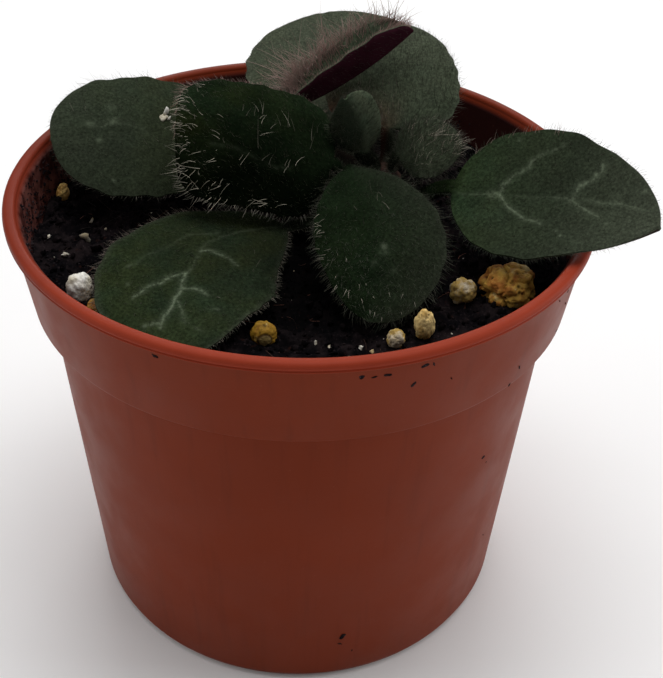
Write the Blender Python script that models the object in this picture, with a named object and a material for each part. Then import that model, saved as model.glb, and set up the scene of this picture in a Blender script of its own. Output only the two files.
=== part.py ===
"""A small hairy-leaved rosette plant in a round injection-moulded plastic nursery pot.

The frame: metres, +Z up, the origin at the centre of the pot's base on the surface it stands on,
-Y towards the viewer. Angles are in degrees; a heading of 0 points along +X and 90 along +Y.
"""

import math
from dataclasses import dataclass

import bmesh
import bpy
from mathutils import Matrix, Vector, noise

# The pot: a 60 mm nursery pot with a collar, a shoulder for nesting and a beaded lip.
POT_HEIGHT = 0.0495
LIP_RADIUS = 0.0300
LIP_WIDTH = 0.0013
LIP_DEPTH = 0.0010
LIP_ROUNDING = 0.00025
COLLAR_TOP_RADIUS = 0.0294
COLLAR_BOTTOM_RADIUS = 0.0282
COLLAR_BOTTOM = 0.0392
BODY_TOP_RADIUS = 0.0266
BODY_BOTTOM_RADIUS = 0.0240
SHOULDER_FILLET = 0.0004
WALL = 0.0010
FOOT_ROUNDING = 0.0012
FOOT_INNER_RADIUS = 0.0205
PAD_RADIUS = 0.0145
CHANNEL_HEIGHT = 0.0014
FLOOR = 0.0010
POT_SEGMENTS = 48
DRAIN_HOLES = 8
DRAIN_RADIUS = 0.0017
DRAIN_CIRCLE = 0.0176
DRAIN_SIDES = 12

# The gap that touching pieces keep.
GAP = 0.0003

# The potting mix: a plug that fills the pot, with an uneven top that is mounded at the crown.
SOIL_LEVEL = 0.0437
SOIL_MOUND = 0.0007
SOIL_MOUND_REACH = 0.0080
SOIL_CLODS = 0.0007
SOIL_CLOD_SIZE = 0.0030
SOIL_ROUGHNESS = 0.7
SOIL_OCTAVE_STEP = 2.2
SOIL_OCTAVES = 3
SOIL_RINGS = 8

# The grains in the mix: how many lumps go round one.
GRAIN_LUMP_RATE = 1.7

# The crown: the short stem that every leaf grows from, on a tapered rootstock in the mix.
CROWN = Vector((0.0083, 0.0048, 0.0))
CROWN_RADIUS = 0.0021
CROWN_TOP = 0.0484
CROWN_SIDES = 16
CROWN_NECK_SHARE = 0.82
CROWN_CAP_SHARE = 0.80
YOUNG_SPREAD = 0.0010
ROOTSTOCK_END = 0.0330
ROOTSTOCK_TIP_RADIUS = 0.0006

# The leaves: a blade of this thickness, thicker along the rib and as far as the petiole.
BLADE_THICKNESS = 0.00065
PETIOLE_THICKNESS = 0.00120
PETIOLE_HALF_WIDTH = 0.00080
TIP_HALF_WIDTH = 0.00060
RIB_AT_TIP = 0.25
PETIOLE_STATIONS = 5
BLADE_STATIONS = 18
COLUMNS = (-1.0, -0.84, -0.52, -0.12, 0.0, 0.12, 0.52, 0.84, 1.0)
SCALLOP_DEPTH = 0.012
WAVE_FADE = 3


@dataclass
class Leaf:
    """One leaf: its blade from base to tip, and where its petiole leaves the crown.

    arch raises the middle of the midrib above its chord, and sway moves it to the right. roll
    lifts the left side, seen from the base. fold lifts both sides at the rib, and curl bends
    them further up towards the margin. The fullness of each end is a superellipse's exponent.
    """

    name: str
    leaves_crown: tuple
    base: tuple
    tip: tuple
    half_width: float
    arch: float = 0.001
    sway: float = 0.0
    roll: float = 0.0
    fold: float = 5.0
    curl: float = -15.0
    widest: float = 0.48
    base_fullness: float = 2.0
    tip_fullness: float = 2.0
    wave: float = 0.00020
    waves: float = 4.0
    phase: float = 0.0


LEAVES = [
    Leaf("leaf_left_back", (168, 0.0461), (-0.0056, 0.0098, 0.0490), (-0.0265, 0.0060, 0.0509),
         half_width=0.0086, arch=0.0008, sway=0.0003, roll=-19, fold=3, curl=-12, widest=0.58,
         base_fullness=2.0, tip_fullness=2.25, wave=0.00015),
    Leaf("leaf_left", (205, 0.0478), (0.0032, 0.0021, 0.0508), (-0.0128, 0.0017, 0.0545),
         half_width=0.0078, arch=0.0010, roll=-27, fold=0, curl=-22, widest=0.40,
         base_fullness=3.4, tip_fullness=4.7, wave=0.0001),
    Leaf("leaf_front_left", (222, 0.0460), (-0.0017, -0.0034, 0.0463), (-0.0102, -0.0238, 0.0454),
         half_width=0.0087, arch=0.0010, sway=0.0048, roll=-2, fold=3, curl=-10, widest=0.52,
         base_fullness=1.75, tip_fullness=1.85, wave=0.00015),
    Leaf("leaf_front", (262, 0.0478), (0.0049, 0.0006, 0.0511), (0.0063, -0.0184, 0.0455),
         half_width=0.0066, arch=0.0020, sway=-0.0020, fold=2, curl=-24, widest=0.52,
         base_fullness=1.9, tip_fullness=1.85, wave=0.0001),
    Leaf("leaf_right", (318, 0.0464), (0.0152, -0.0024, 0.0507), (0.0327, -0.0141, 0.0537),
         half_width=0.0078, arch=0.0, sway=-0.0010, roll=26, fold=8, curl=-4, widest=0.40,
         base_fullness=1.98, tip_fullness=1.52, wave=0.00018, waves=3.0),
    Leaf("leaf_back_left", (112, 0.0461), (0.0051, 0.0107, 0.0488), (0.0022, 0.0288, 0.0560),
         half_width=0.0107, arch=0.0010, sway=0.0005, fold=4, curl=-8, widest=0.53,
         base_fullness=2.2, tip_fullness=1.9, wave=0.00012),
    Leaf("leaf_back_right", (72, 0.0478), (0.0092, 0.0088, 0.0512), (0.0109, 0.0220, 0.0576),
         half_width=0.0073, arch=0.0012, roll=-4, fold=4, curl=-14, widest=0.30, base_fullness=2.6,
         tip_fullness=1.8, wave=0.0001),
    Leaf("leaf_folded", (150, 0.0478), (-0.0014, 0.0108, 0.0530), (0.0114, 0.0154, 0.0599),
         half_width=0.0035, arch=-0.0008, roll=-2, fold=61, curl=5, widest=0.65, base_fullness=2.05,
         tip_fullness=1.95, wave=0.0001),
    Leaf("leaf_young_left", (170, CROWN_TOP), (0.0061, 0.0046, 0.0511), (0.0043, 0.0050, 0.0565),
         half_width=0.0031, arch=0.0006, roll=-50, fold=16, curl=10, widest=0.5, base_fullness=2.8,
         tip_fullness=2.4, wave=0.0001),
    Leaf("leaf_young_right", (335, CROWN_TOP), (0.0098, 0.0034, 0.0511), (0.0165, 0.0030, 0.0520),
         half_width=0.0038, arch=0.0010, roll=28, fold=2, curl=-28, widest=0.48, base_fullness=2.8,
         wave=0.0001),
]


@dataclass
class Grain:
    """One grain of perlite or fertiliser in the top of the mix: its centre, size and lumps."""

    name: str
    material: str
    centre: tuple
    size: tuple
    lumps: float = 0.16
    fineness: int = 2


GRAINS = [
    Grain("perlite_white", "perlite", (-0.0213, -0.0122, 0.0445), (0.0026, 0.0024, 0.0032)),
    Grain("perlite_orange", "pumice", (-0.0192, -0.0149, 0.0442), (0.0020, 0.0018, 0.0020)),
    Grain("fertiliser_prill", "pumice", (-0.0034, -0.0190, 0.0444), (0.0024, 0.0024, 0.0024), 0.05),
    Grain("perlite_small", "perlite", (0.0088, -0.0196, 0.0445), (0.0017, 0.0016, 0.0018)),
    Grain("perlite_tall", "pumice", (0.0115, -0.0182, 0.0450), (0.0019, 0.0017, 0.0032)),
    Grain("perlite_cream", "perlite", (0.0157, -0.0124, 0.0448), (0.0025, 0.0024, 0.0026)),
    Grain("pumice_amber", "pumice", (0.0202, -0.0116, 0.0449), (0.0050, 0.0044, 0.0042), 0.22, 3),
    Grain("perlite_yellow", "pumice", (-0.0260, 0.0063, 0.0442), (0.0014, 0.0021, 0.0018)),
]


def linear(colour):
    """Turn a display colour, 0 to 255 a channel, into the linear values that shaders take."""
    return [((channel / 255 + 0.055) / 1.055) ** 2.4 for channel in colour] + [1.0]


def material(name, colour, roughness, metallic=0.0):
    """Return the named material, made on its first use."""
    found = bpy.data.materials.get(name)
    if found:
        return found
    made = bpy.data.materials.new(name)
    made.use_nodes = True
    shader = made.node_tree.nodes["Principled BSDF"]
    shader.inputs["Base Color"].default_value = linear(colour)
    shader.inputs["Roughness"].default_value = roughness
    shader.inputs["Metallic"].default_value = metallic
    return made


def add_object(name, mesh_data, finish, smooth_angle=30.0):
    """Wrap a bmesh in a named object with its material, shaded smooth below the angle."""
    mesh = bpy.data.meshes.new(name)
    mesh_data.to_mesh(mesh)
    mesh_data.free()
    mesh.materials.append(finish)
    mesh.shade_smooth()
    mesh.set_sharp_from_angle(angle=math.radians(smooth_angle))
    made = bpy.data.objects.new(name, mesh)
    bpy.context.scene.collection.objects.link(made)
    return made


def turn_profile(profile, steps):
    """Spin a profile of (radius, height) points, which starts and ends on the axis, full round."""
    turned = bmesh.new()
    points = [turned.verts.new((radius, 0.0, height)) for radius, height in profile]
    edges = [turned.edges.new(pair) for pair in zip(points, points[1:])]
    bmesh.ops.spin(turned, geom=points + edges, cent=(0, 0, 0), axis=(0, 0, 1),
                   angle=2 * math.pi, steps=steps, use_merge=True)
    bmesh.ops.remove_doubles(turned, verts=turned.verts, dist=1e-6)
    bmesh.ops.recalc_face_normals(turned, faces=turned.faces)
    return turned


def cut(target, cutter):
    """Subtract a cutter from a target and keep the cutter out of the model."""
    cutter.hide_render = True
    cutter.display_type = "WIRE"
    boolean = target.modifiers.new("cut by " + cutter.name, "BOOLEAN")
    boolean.operation = "DIFFERENCE"
    boolean.solver = "EXACT"
    boolean.object = cutter


def wall_radius(height):
    """The pot's inner radius at a height, in its body or in its collar."""
    if height < COLLAR_BOTTOM + WALL:
        rise = height / COLLAR_BOTTOM
        return BODY_BOTTOM_RADIUS + (BODY_TOP_RADIUS - BODY_BOTTOM_RADIUS) * rise - WALL
    rise = (height - COLLAR_BOTTOM) / (POT_HEIGHT - COLLAR_BOTTOM)
    return COLLAR_BOTTOM_RADIUS + (COLLAR_TOP_RADIUS - COLLAR_BOTTOM_RADIUS) * rise - WALL


def pot_profile():
    """The pot's section, from the middle of the underside, out, up and back down inside."""
    lip_inner = LIP_RADIUS - LIP_WIDTH
    lip_bottom = POT_HEIGHT - LIP_DEPTH
    channel_slope = FOOT_ROUNDING / 2
    foot_cut = FOOT_ROUNDING * (1 - math.sqrt(0.5))
    shoulder_inside = COLLAR_BOTTOM + WALL
    body_inside_bottom = CHANNEL_HEIGHT + FLOOR
    outside = [
        (0.0, 0.0),
        (PAD_RADIUS, 0.0),
        (PAD_RADIUS + channel_slope, CHANNEL_HEIGHT),
        (FOOT_INNER_RADIUS - channel_slope, CHANNEL_HEIGHT),
        (FOOT_INNER_RADIUS, 0.0),
        (BODY_BOTTOM_RADIUS - FOOT_ROUNDING, 0.0),
        (BODY_BOTTOM_RADIUS - foot_cut, foot_cut),
        (BODY_BOTTOM_RADIUS, FOOT_ROUNDING),
        (BODY_TOP_RADIUS, COLLAR_BOTTOM - SHOULDER_FILLET),
        (BODY_TOP_RADIUS + SHOULDER_FILLET, COLLAR_BOTTOM),
        (COLLAR_BOTTOM_RADIUS - SHOULDER_FILLET / 2, COLLAR_BOTTOM),
        (COLLAR_BOTTOM_RADIUS, COLLAR_BOTTOM + SHOULDER_FILLET),
        (COLLAR_TOP_RADIUS, lip_bottom),
        (LIP_RADIUS, lip_bottom),
        (LIP_RADIUS, POT_HEIGHT - LIP_ROUNDING),
        (LIP_RADIUS - LIP_ROUNDING, POT_HEIGHT),
    ]
    inside = [
        (lip_inner + LIP_ROUNDING, POT_HEIGHT),
        (lip_inner, POT_HEIGHT - LIP_ROUNDING),
        (wall_radius(lip_bottom), lip_bottom),
        (wall_radius(shoulder_inside), shoulder_inside),
        (BODY_TOP_RADIUS - WALL, shoulder_inside - SHOULDER_FILLET),
        (wall_radius(body_inside_bottom + FLOOR), body_inside_bottom + FLOOR),
        (wall_radius(body_inside_bottom) - FLOOR, body_inside_bottom),
        (0.0, body_inside_bottom),
    ]
    return outside + inside


def build_pot():
    """The pot, with drain holes through the channel between its pad and its foot."""
    plastic = material("terracotta_plastic", (140, 62, 46), 0.42)
    pot = add_object("pot", turn_profile(pot_profile(), POT_SEGMENTS), plastic)
    drill = bmesh.new()
    for index in range(DRAIN_HOLES):
        angle = 2 * math.pi * (index + 0.5) / DRAIN_HOLES
        place = Vector((math.cos(angle), math.sin(angle), 0.0)) * DRAIN_CIRCLE
        bmesh.ops.create_cone(drill, cap_ends=True, segments=DRAIN_SIDES, radius1=DRAIN_RADIUS,
                              radius2=DRAIN_RADIUS, depth=4 * (CHANNEL_HEIGHT + FLOOR),
                              matrix=Matrix.Translation(place))
    cut(pot, add_object("drain_drill", drill, plastic))


def soil_height(x, y):
    """The height of the mix's top: clods, and a mound round the crown."""
    place = Vector((x, y, 0.0))
    clods = noise.fractal(place / SOIL_CLOD_SIZE, SOIL_ROUGHNESS, SOIL_OCTAVE_STEP, SOIL_OCTAVES)
    from_crown = (place - CROWN).length / SOIL_MOUND_REACH
    return SOIL_LEVEL + clods * SOIL_CLODS + SOIL_MOUND * math.exp(-from_crown ** 2)


def build_soil():
    """The potting mix, with plain holes for the crown's rootstock and for each grain."""
    bottom = CHANNEL_HEIGHT + FLOOR + GAP
    corner = bottom + FLOOR
    shoulder = COLLAR_BOTTOM + WALL
    edge = wall_radius(SOIL_LEVEL) - GAP
    profile = [
        (0.0, bottom),
        (wall_radius(bottom) - FLOOR - GAP, bottom),
        (wall_radius(corner) - GAP, corner),
        (BODY_TOP_RADIUS - WALL - GAP, shoulder - SHOULDER_FILLET + GAP),
        (wall_radius(shoulder) - GAP, shoulder + 1.5 * GAP),
    ]
    profile += [(edge * (1 - ring / SOIL_RINGS), SOIL_LEVEL) for ring in range(SOIL_RINGS + 1)]
    soil = turn_profile(profile, POT_SEGMENTS)
    for vertex in soil.verts:
        if vertex.co.z > shoulder + 2 * GAP:
            vertex.co.z = soil_height(vertex.co.x, vertex.co.y)
    bmesh.ops.triangulate(soil, faces=soil.faces)
    peat = material("potting_mix", (34, 26, 24), 0.95)
    made = add_object("potting_mix", soil, peat)
    cut(made, add_object("rootstock_hole", turn_profile(crown_profile(GAP), CROWN_SIDES), peat))
    bpy.data.objects["rootstock_hole"].location = CROWN
    for grain in GRAINS:
        pocket = add_object(grain.name + "_pocket", grain_mesh(grain, GAP), peat)
        pocket.location = grain.centre
        cut(made, pocket)


def crown_profile(margin):
    """The crown's section from its root end up, made larger all round by the margin."""
    radius = CROWN_RADIUS + margin
    return [
        (0.0, ROOTSTOCK_END - margin),
        (ROOTSTOCK_TIP_RADIUS + margin, ROOTSTOCK_END - margin),
        (radius * CROWN_NECK_SHARE, SOIL_LEVEL - CROWN_RADIUS),
        (radius, SOIL_LEVEL + CROWN_RADIUS / 2),
        (radius, CROWN_TOP - CROWN_RADIUS / 4),
        (radius * CROWN_CAP_SHARE, CROWN_TOP + margin),
        (0.0, CROWN_TOP + margin),
    ]


def build_crown():
    """The short stem and the rootstock below it."""
    stem = material("crown_stem", (92, 58, 44), 0.8)
    made = add_object("crown", turn_profile(crown_profile(0.0), CROWN_SIDES), stem)
    made.location = CROWN


def grain_mesh(grain, margin):
    """A lumpy grain about the origin, made larger all round by the margin."""
    lump = bmesh.new()
    bmesh.ops.create_icosphere(lump, subdivisions=grain.fineness, radius=1.0)
    half = Vector(grain.size) / 2
    own_lumps = Vector(grain.centre) * 1000
    for vertex in lump.verts:
        direction = vertex.co.normalized()
        swell = 1.0 + grain.lumps * noise.noise(direction * GRAIN_LUMP_RATE + own_lumps)
        vertex.co = Vector(a * b for a, b in zip(direction, half)) * swell + direction * margin
    return lump


def build_grains():
    """The grains that show on top of the mix."""
    finishes = {
        "perlite": material("perlite", (206, 196, 170), 0.85),
        "pumice": material("pumice", (176, 126, 58), 0.8),
    }
    for grain in GRAINS:
        made = add_object(grain.name, grain_mesh(grain, 0.0), finishes[grain.material])
        made.location = grain.centre


def bezier(points, t):
    """A point on the Bezier curve with these control points, by repeated blending."""
    while len(points) > 1:
        points = [a.lerp(b, t) for a, b in zip(points, points[1:])]
    return points[0]


def slope(points, t):
    """The direction of the Bezier curve with these control points."""
    return bezier([b - a for a, b in zip(points, points[1:])], t).normalized()


def midrib_curve(leaf):
    """The three control points of the blade's midrib."""
    base = Vector(leaf.base)
    tip = Vector(leaf.tip)
    chord = tip - base
    right = chord.cross(Vector((0, 0, 1))).normalized()
    up = right.cross(chord).normalized()
    return [base, (base + tip) / 2 + 2 * (leaf.arch * up + leaf.sway * right), tip]


def petiole_curve(leaf):
    """The four control points of the petiole, square to the crown where it leaves it."""
    heading, height = leaf.leaves_crown
    angle = math.radians(heading)
    outward = Vector((math.cos(angle), math.sin(angle), 0.0))
    base = Vector(leaf.base)
    if height >= CROWN_TOP:
        start = CROWN + outward * YOUNG_SPREAD + Vector((0, 0, CROWN_TOP + GAP))
        leaving = Vector((0, 0, 1))
    else:
        start = CROWN + outward * (CROWN_RADIUS + GAP) + Vector((0, 0, height))
        leaving = outward
    reach = (base - start).length / 3
    return [start, start + leaving * reach, base - slope(midrib_curve(leaf), 0.0) * reach, base]


def outline(leaf, t):
    """The blade's half width at a fraction t of its length."""
    if t < leaf.widest:
        from_widest = (leaf.widest - t) / leaf.widest
        fullness = leaf.base_fullness
        end_width = PETIOLE_HALF_WIDTH
    else:
        from_widest = (t - leaf.widest) / (1 - leaf.widest)
        fullness = leaf.tip_fullness
        end_width = TIP_HALF_WIDTH
    width = leaf.half_width * max(0.0, 1 - from_widest ** fullness) ** (1 / fullness)
    return max(width, end_width)


def stations(leaf):
    """The leaf's stations from crown to tip: point, direction, and fraction t of the blade.

    t is below 0 on the petiole, and rises to 0 where the blade starts.
    """
    petiole = petiole_curve(leaf)
    midrib = midrib_curve(leaf)
    found = []
    for index in range(PETIOLE_STATIONS):
        t = index / PETIOLE_STATIONS
        found.append((bezier(petiole, t), slope(petiole, t), t - 1))
    for index in range(BLADE_STATIONS + 1):
        even = index / BLADE_STATIONS
        t = (even + (1 - math.cos(math.pi * even)) / 2) / 2
        found.append((bezier(midrib, t), slope(midrib, t), t))
    return found


def right_hands(leaf, found):
    """The direction to the leaf's right at each station, carried along without turning."""
    start = next(index for index, (_, _, t) in enumerate(found) if t >= 0)
    along = found[start][1]
    level = along.cross(Vector((0, 0, 1))).normalized()
    right = Matrix.Rotation(math.radians(leaf.roll), 3, along) @ level
    hands = {start: right}
    for order in (range(start + 1, len(found)), range(start - 1, -1, -1)):
        carried = right
        for index in order:
            along = found[index][1]
            carried = (carried - carried.dot(along) * along).normalized()
            hands[index] = carried
    return hands


def across(leaf, width, share):
    """Where a column lies across the section: its distance to the right, and up."""
    fold = math.radians(leaf.fold)
    bend = math.radians(leaf.curl) * abs(share)
    if abs(bend) < 1e-6:
        return share * width * math.cos(fold), abs(share) * width * math.sin(fold)
    radius = abs(share) * width / bend
    side = radius * (math.sin(fold + bend) - math.sin(fold))
    rise = radius * (math.cos(fold) - math.cos(fold + bend))
    return math.copysign(side, share), rise


def leaf_point(leaf, station, right, share):
    """A point of the leaf's upper face, with its waves and scallops towards the margin."""
    point, along, t = station
    up = right.cross(along)
    width = outline(leaf, t) if t > 0 else PETIOLE_HALF_WIDTH
    ripple = 0.0
    if t > 0:
        side = math.copysign(1.0, share)
        swing = math.sin(2 * math.pi * leaf.waves * t + leaf.phase + side)
        fade = abs(share) ** WAVE_FADE * width / leaf.half_width
        ripple = leaf.wave * swing * fade
        width *= 1 + SCALLOP_DEPTH * math.cos(4 * math.pi * leaf.waves * t + leaf.phase) * fade
    side, rise = across(leaf, width, share)
    return point + right * side + up * (rise + ripple)


def rib_share(t, share):
    """How far the thickness at a point is the petiole's, and not the blade's."""
    if t <= 0:
        return 1.0
    if share != 0:
        return 0.0
    return 1 + (RIB_AT_TIP - 1) * t


def build_leaf(leaf, finish):
    """A leaf and its petiole: a grid laid on the leaf's upper face and thickened downwards."""
    found = stations(leaf)
    hands = right_hands(leaf, found)
    last_column = len(COLUMNS) - 1
    last_row = len(found) - 1
    grid = bmesh.new()
    bmesh.ops.create_grid(grid, x_segments=last_column, y_segments=last_row, size=1.0)
    thick = grid.verts.layers.deform.verify()
    for vertex in grid.verts:
        column = round((vertex.co.x + 1) / 2 * last_column)
        row = round((vertex.co.y + 1) / 2 * last_row)
        vertex.co = leaf_point(leaf, found[row], hands[row], COLUMNS[column])
        vertex[thick][0] = rib_share(found[row][2], COLUMNS[column])
    bmesh.ops.triangulate(grid, faces=grid.faces, quad_method="FIXED")
    made = add_object(leaf.name, grid, finish, smooth_angle=60)
    made.vertex_groups.new(name="rib")
    solidify = made.modifiers.new("thickness", "SOLIDIFY")
    solidify.thickness = PETIOLE_THICKNESS
    solidify.offset = -1.0
    solidify.vertex_group = "rib"
    solidify.thickness_vertex_group = BLADE_THICKNESS / PETIOLE_THICKNESS


def build_leaves():
    """The rosette's leaves; the innermost are younger and greyer with hair."""
    grown = material("leaf_velvet", (30, 42, 31), 0.75)
    young = material("young_leaf_velvet", (48, 54, 48), 0.85)
    for leaf in LEAVES:
        build_leaf(leaf, young if "young" in leaf.name else grown)


def main():
    """Clear the scene and build the potted plant."""
    for old in list(bpy.data.objects):
        bpy.data.objects.remove(old)
    build_pot()
    build_soil()
    build_crown()
    build_grains()
    build_leaves()


if __name__ == "__main__":
    main()
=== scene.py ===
"""The looks of a small hairy-leaved rosette plant in a round plastic nursery pot.

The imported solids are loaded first, as a fixed frame: metres, +Z up, the origin at the centre of the
pot's base, -Y towards the viewer. Every piece made here stands for one of those solids or lies on it.
Angles are in degrees; a heading of 0 points along +X and 90 along +Y.
"""

import math
from dataclasses import dataclass

import bmesh
import bpy
import numpy as np
from bpy.props import FloatProperty, FloatVectorProperty, IntProperty, PointerProperty
from mathutils import Matrix, Vector, noise


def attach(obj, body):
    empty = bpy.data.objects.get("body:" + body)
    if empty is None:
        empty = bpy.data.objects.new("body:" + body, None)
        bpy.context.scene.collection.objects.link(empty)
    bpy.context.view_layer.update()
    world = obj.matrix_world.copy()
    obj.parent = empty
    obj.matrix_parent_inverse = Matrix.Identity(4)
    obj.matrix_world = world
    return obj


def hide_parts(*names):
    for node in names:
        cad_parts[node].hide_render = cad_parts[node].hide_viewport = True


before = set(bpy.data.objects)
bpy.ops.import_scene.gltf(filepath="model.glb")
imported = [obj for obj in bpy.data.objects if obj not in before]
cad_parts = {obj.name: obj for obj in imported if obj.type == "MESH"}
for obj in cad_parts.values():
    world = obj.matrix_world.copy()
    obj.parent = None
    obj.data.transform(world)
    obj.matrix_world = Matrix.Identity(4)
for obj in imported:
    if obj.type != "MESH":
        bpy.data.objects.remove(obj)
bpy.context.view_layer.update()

bl_info = {
    "name": "Potted Velvet Rosette",
    "version": (1, 0, 0),
    "blender": (4, 5, 0),
    "location": "View3D > Sidebar > Rosette",
    "description": "Models a hairy-leaved rosette plant in a plastic nursery pot",
    "category": "Add Mesh",
}

BODY = "root"
noise.seed_set(1)

# The pot's section, as in the solids.
POT_HEIGHT = 0.0495
LIP_RADIUS = 0.0300
LIP_DEPTH = 0.0010
LIP_ROUNDING = 0.00045
LIP_GROOVE = 0.00014
LIP_GROOVE_DEPTH = LIP_DEPTH * 0.72
COLLAR_TOP_RADIUS = 0.0294
COLLAR_BOTTOM_RADIUS = 0.0282
COLLAR_BOTTOM = 0.0392
BODY_TOP_RADIUS = 0.0266
BODY_BOTTOM_RADIUS = 0.0240
SHOULDER_FILLET = 0.0004
WALL = 0.0010
FOOT_ROUNDING = 0.0012
FOOT_INNER_RADIUS = 0.0205
PAD_RADIUS = 0.0145
CHANNEL_HEIGHT = 0.0014
FLOOR = 0.0010
DRAIN_HOLES = 8
DRAIN_RADIUS = 0.0017
DRAIN_CIRCLE = 0.0176
GAP = 0.0003
EDGE_ROUNDING = 0.00010

# Specks of mix that stick to the pot's outside: half their thickness, then the heading, height and
# size of each.
FLECK_THICKNESS = 0.00003
FLECKS = [
    (-68.5, 0.0475, 0.0009), (-66.9, 0.0474, 0.0006), (-79.7, 0.0474, 0.0008), (-77.4, 0.0472, 0.0006),
    (-75.2, 0.0472, 0.0007), (-70.2, 0.0454, 0.0006), (-62.6, 0.0448, 0.0004), (-29.6, 0.0464, 0.0004),
    (-33.9, 0.0466, 0.0003), (-27.4, 0.0442, 0.0004), (-27.1, 0.0406, 0.0005), (-43.8, 0.0414, 0.0004),
    (-45.7, 0.0396, 0.0004), (-78.3, 0.0074, 0.0009), (-79.0, 0.0060, 0.0006), (-75.6, 0.0044, 0.0004),
    (-43.7, 0.0281, 0.0006), (-41.7, 0.0268, 0.0003), (-32.6, 0.0120, 0.0003), (-115.2, 0.0476, 0.0008),
    (35.0, 0.0452, 0.0007), (62.0, 0.0440, 0.0005), (118.0, 0.0468, 0.0008), (160.0, 0.0230, 0.0006),
    (201.0, 0.0455, 0.0005), (95.0, 0.0120, 0.0007),
]

# The potting mix: its level, mound, clods and crumbs, how much of its radius loose things lie on,
# where painted shade darkens it most and how far, and how much paler it is when dry. Then the crown.
SOIL_LEVEL = 0.0437
SOIL_MOUND = 0.0007
SOIL_MOUND_REACH = 0.0080
SOIL_CLODS = 0.0007
SOIL_CLOD_SIZE = 0.0030
SOIL_CRUMBS = 0.00028
SOIL_CRUMB_SIZE = 0.0011
SOIL_REACH = 0.97
PAINTED_SHADE_CENTRE = (0.001, -0.009)
PAINTED_SHADE_RADIUS = 0.013
DRIED = 2.4
CROWN = Vector((0.0083, 0.0048, 0.0))
CROWN_RADIUS = 0.0021
CROWN_TOP = 0.0484
YOUNG_SPREAD = 0.0010
ROOTSTOCK_END = 0.0330
ROOTSTOCK_TIP_RADIUS = 0.0006

# What lies on the mix and sticks to the wall. A range is the least, and how much more the most is.
CRUMB_RADIUS = (0.00009, 0.00038)
WALL_CRUMBS = 1100
WALL_CRUMB_RADIUS = (0.00005, 0.00013)
WALL_CRUMB_HEIGHT = (SOIL_LEVEL, 0.0048)
FIBRE_LENGTH = (0.0012, 0.0024)
FIBRE_RADIUS = (0.00002, 0.00003)
SPECK_RADIUS = (0.00005, 0.00011)

# White specks seen on the mix, beside the scattered ones: place and size.
SPECKS = [
    (-0.0222, -0.0028, 0.0008), (-0.0239, -0.0056, 0.0007), (-0.0223, 0.0015, 0.0005),
    (0.0014, -0.0197, 0.0003), (0.0055, -0.0203, 0.0004), (0.0066, -0.0202, 0.0004),
    (0.0027, -0.0203, 0.0003), (-0.0205, -0.0005, 0.0004), (-0.0262, -0.0020, 0.0004),
]

# The leaves' thickness, how wide their ends are, and how their margins wave.
BLADE_THICKNESS = 0.00060
MARGIN_THICKNESS = 0.00020
PETIOLE_THICKNESS = 0.00115
PETIOLE_HALF_WIDTH = 0.00080
TIP_HALF_WIDTH = 0.00018
SCALLOP_DEPTH = 0.012
WAVE_FADE = 3
TYPICAL_HALF_WIDTH = 0.008

# The leaves' veins: how wide they look, how wide their grooves and ridges are, how far they wander,
# and where on the rib the side veins start.
VEIN_WIDTH = 0.00012
VEIN_HALO_WIDTH = 0.00036
VEIN_HALO = 0.34
VEIN_GROOVE_WIDTH = 0.00028
RIB_WIDTH = 0.00018
RIB_GROOVE_WIDTH = 0.00030
RIB_RIDGE_WIDTH = 0.00055
VEIN_WANDER = 0.00016
VEIN_WANDER_RATE = 900
SIDE_VEINS = (0.08, 0.24, 0.40, 0.56, 0.72)

# The leaves' relief, on a blade of the typical width.
QUILT_HEIGHT = 0.00006
QUILT_FROM_VEIN = 0.0009
RIB_GROOVE = 0.00004
VEIN_GROOVE = 0.00002
VEIN_RIDGE = 0.00010
SKIN_HEIGHT = 0.000030
SKIN_RATE = 1300
STALK_CROWN = 0.00016
# The brightest a petiole can be, as painted shade on the stalks under the blades.
STALK_SHADE = 0.4
RIM_WIDTH = 0.00045

# How far a hair's root is sunk, and the longest hair on a petiole's margin.
PILE_SUNK = 0.00004
HAIR_SUNK = 0.00005
STALK_HAIR = 0.0009


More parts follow.
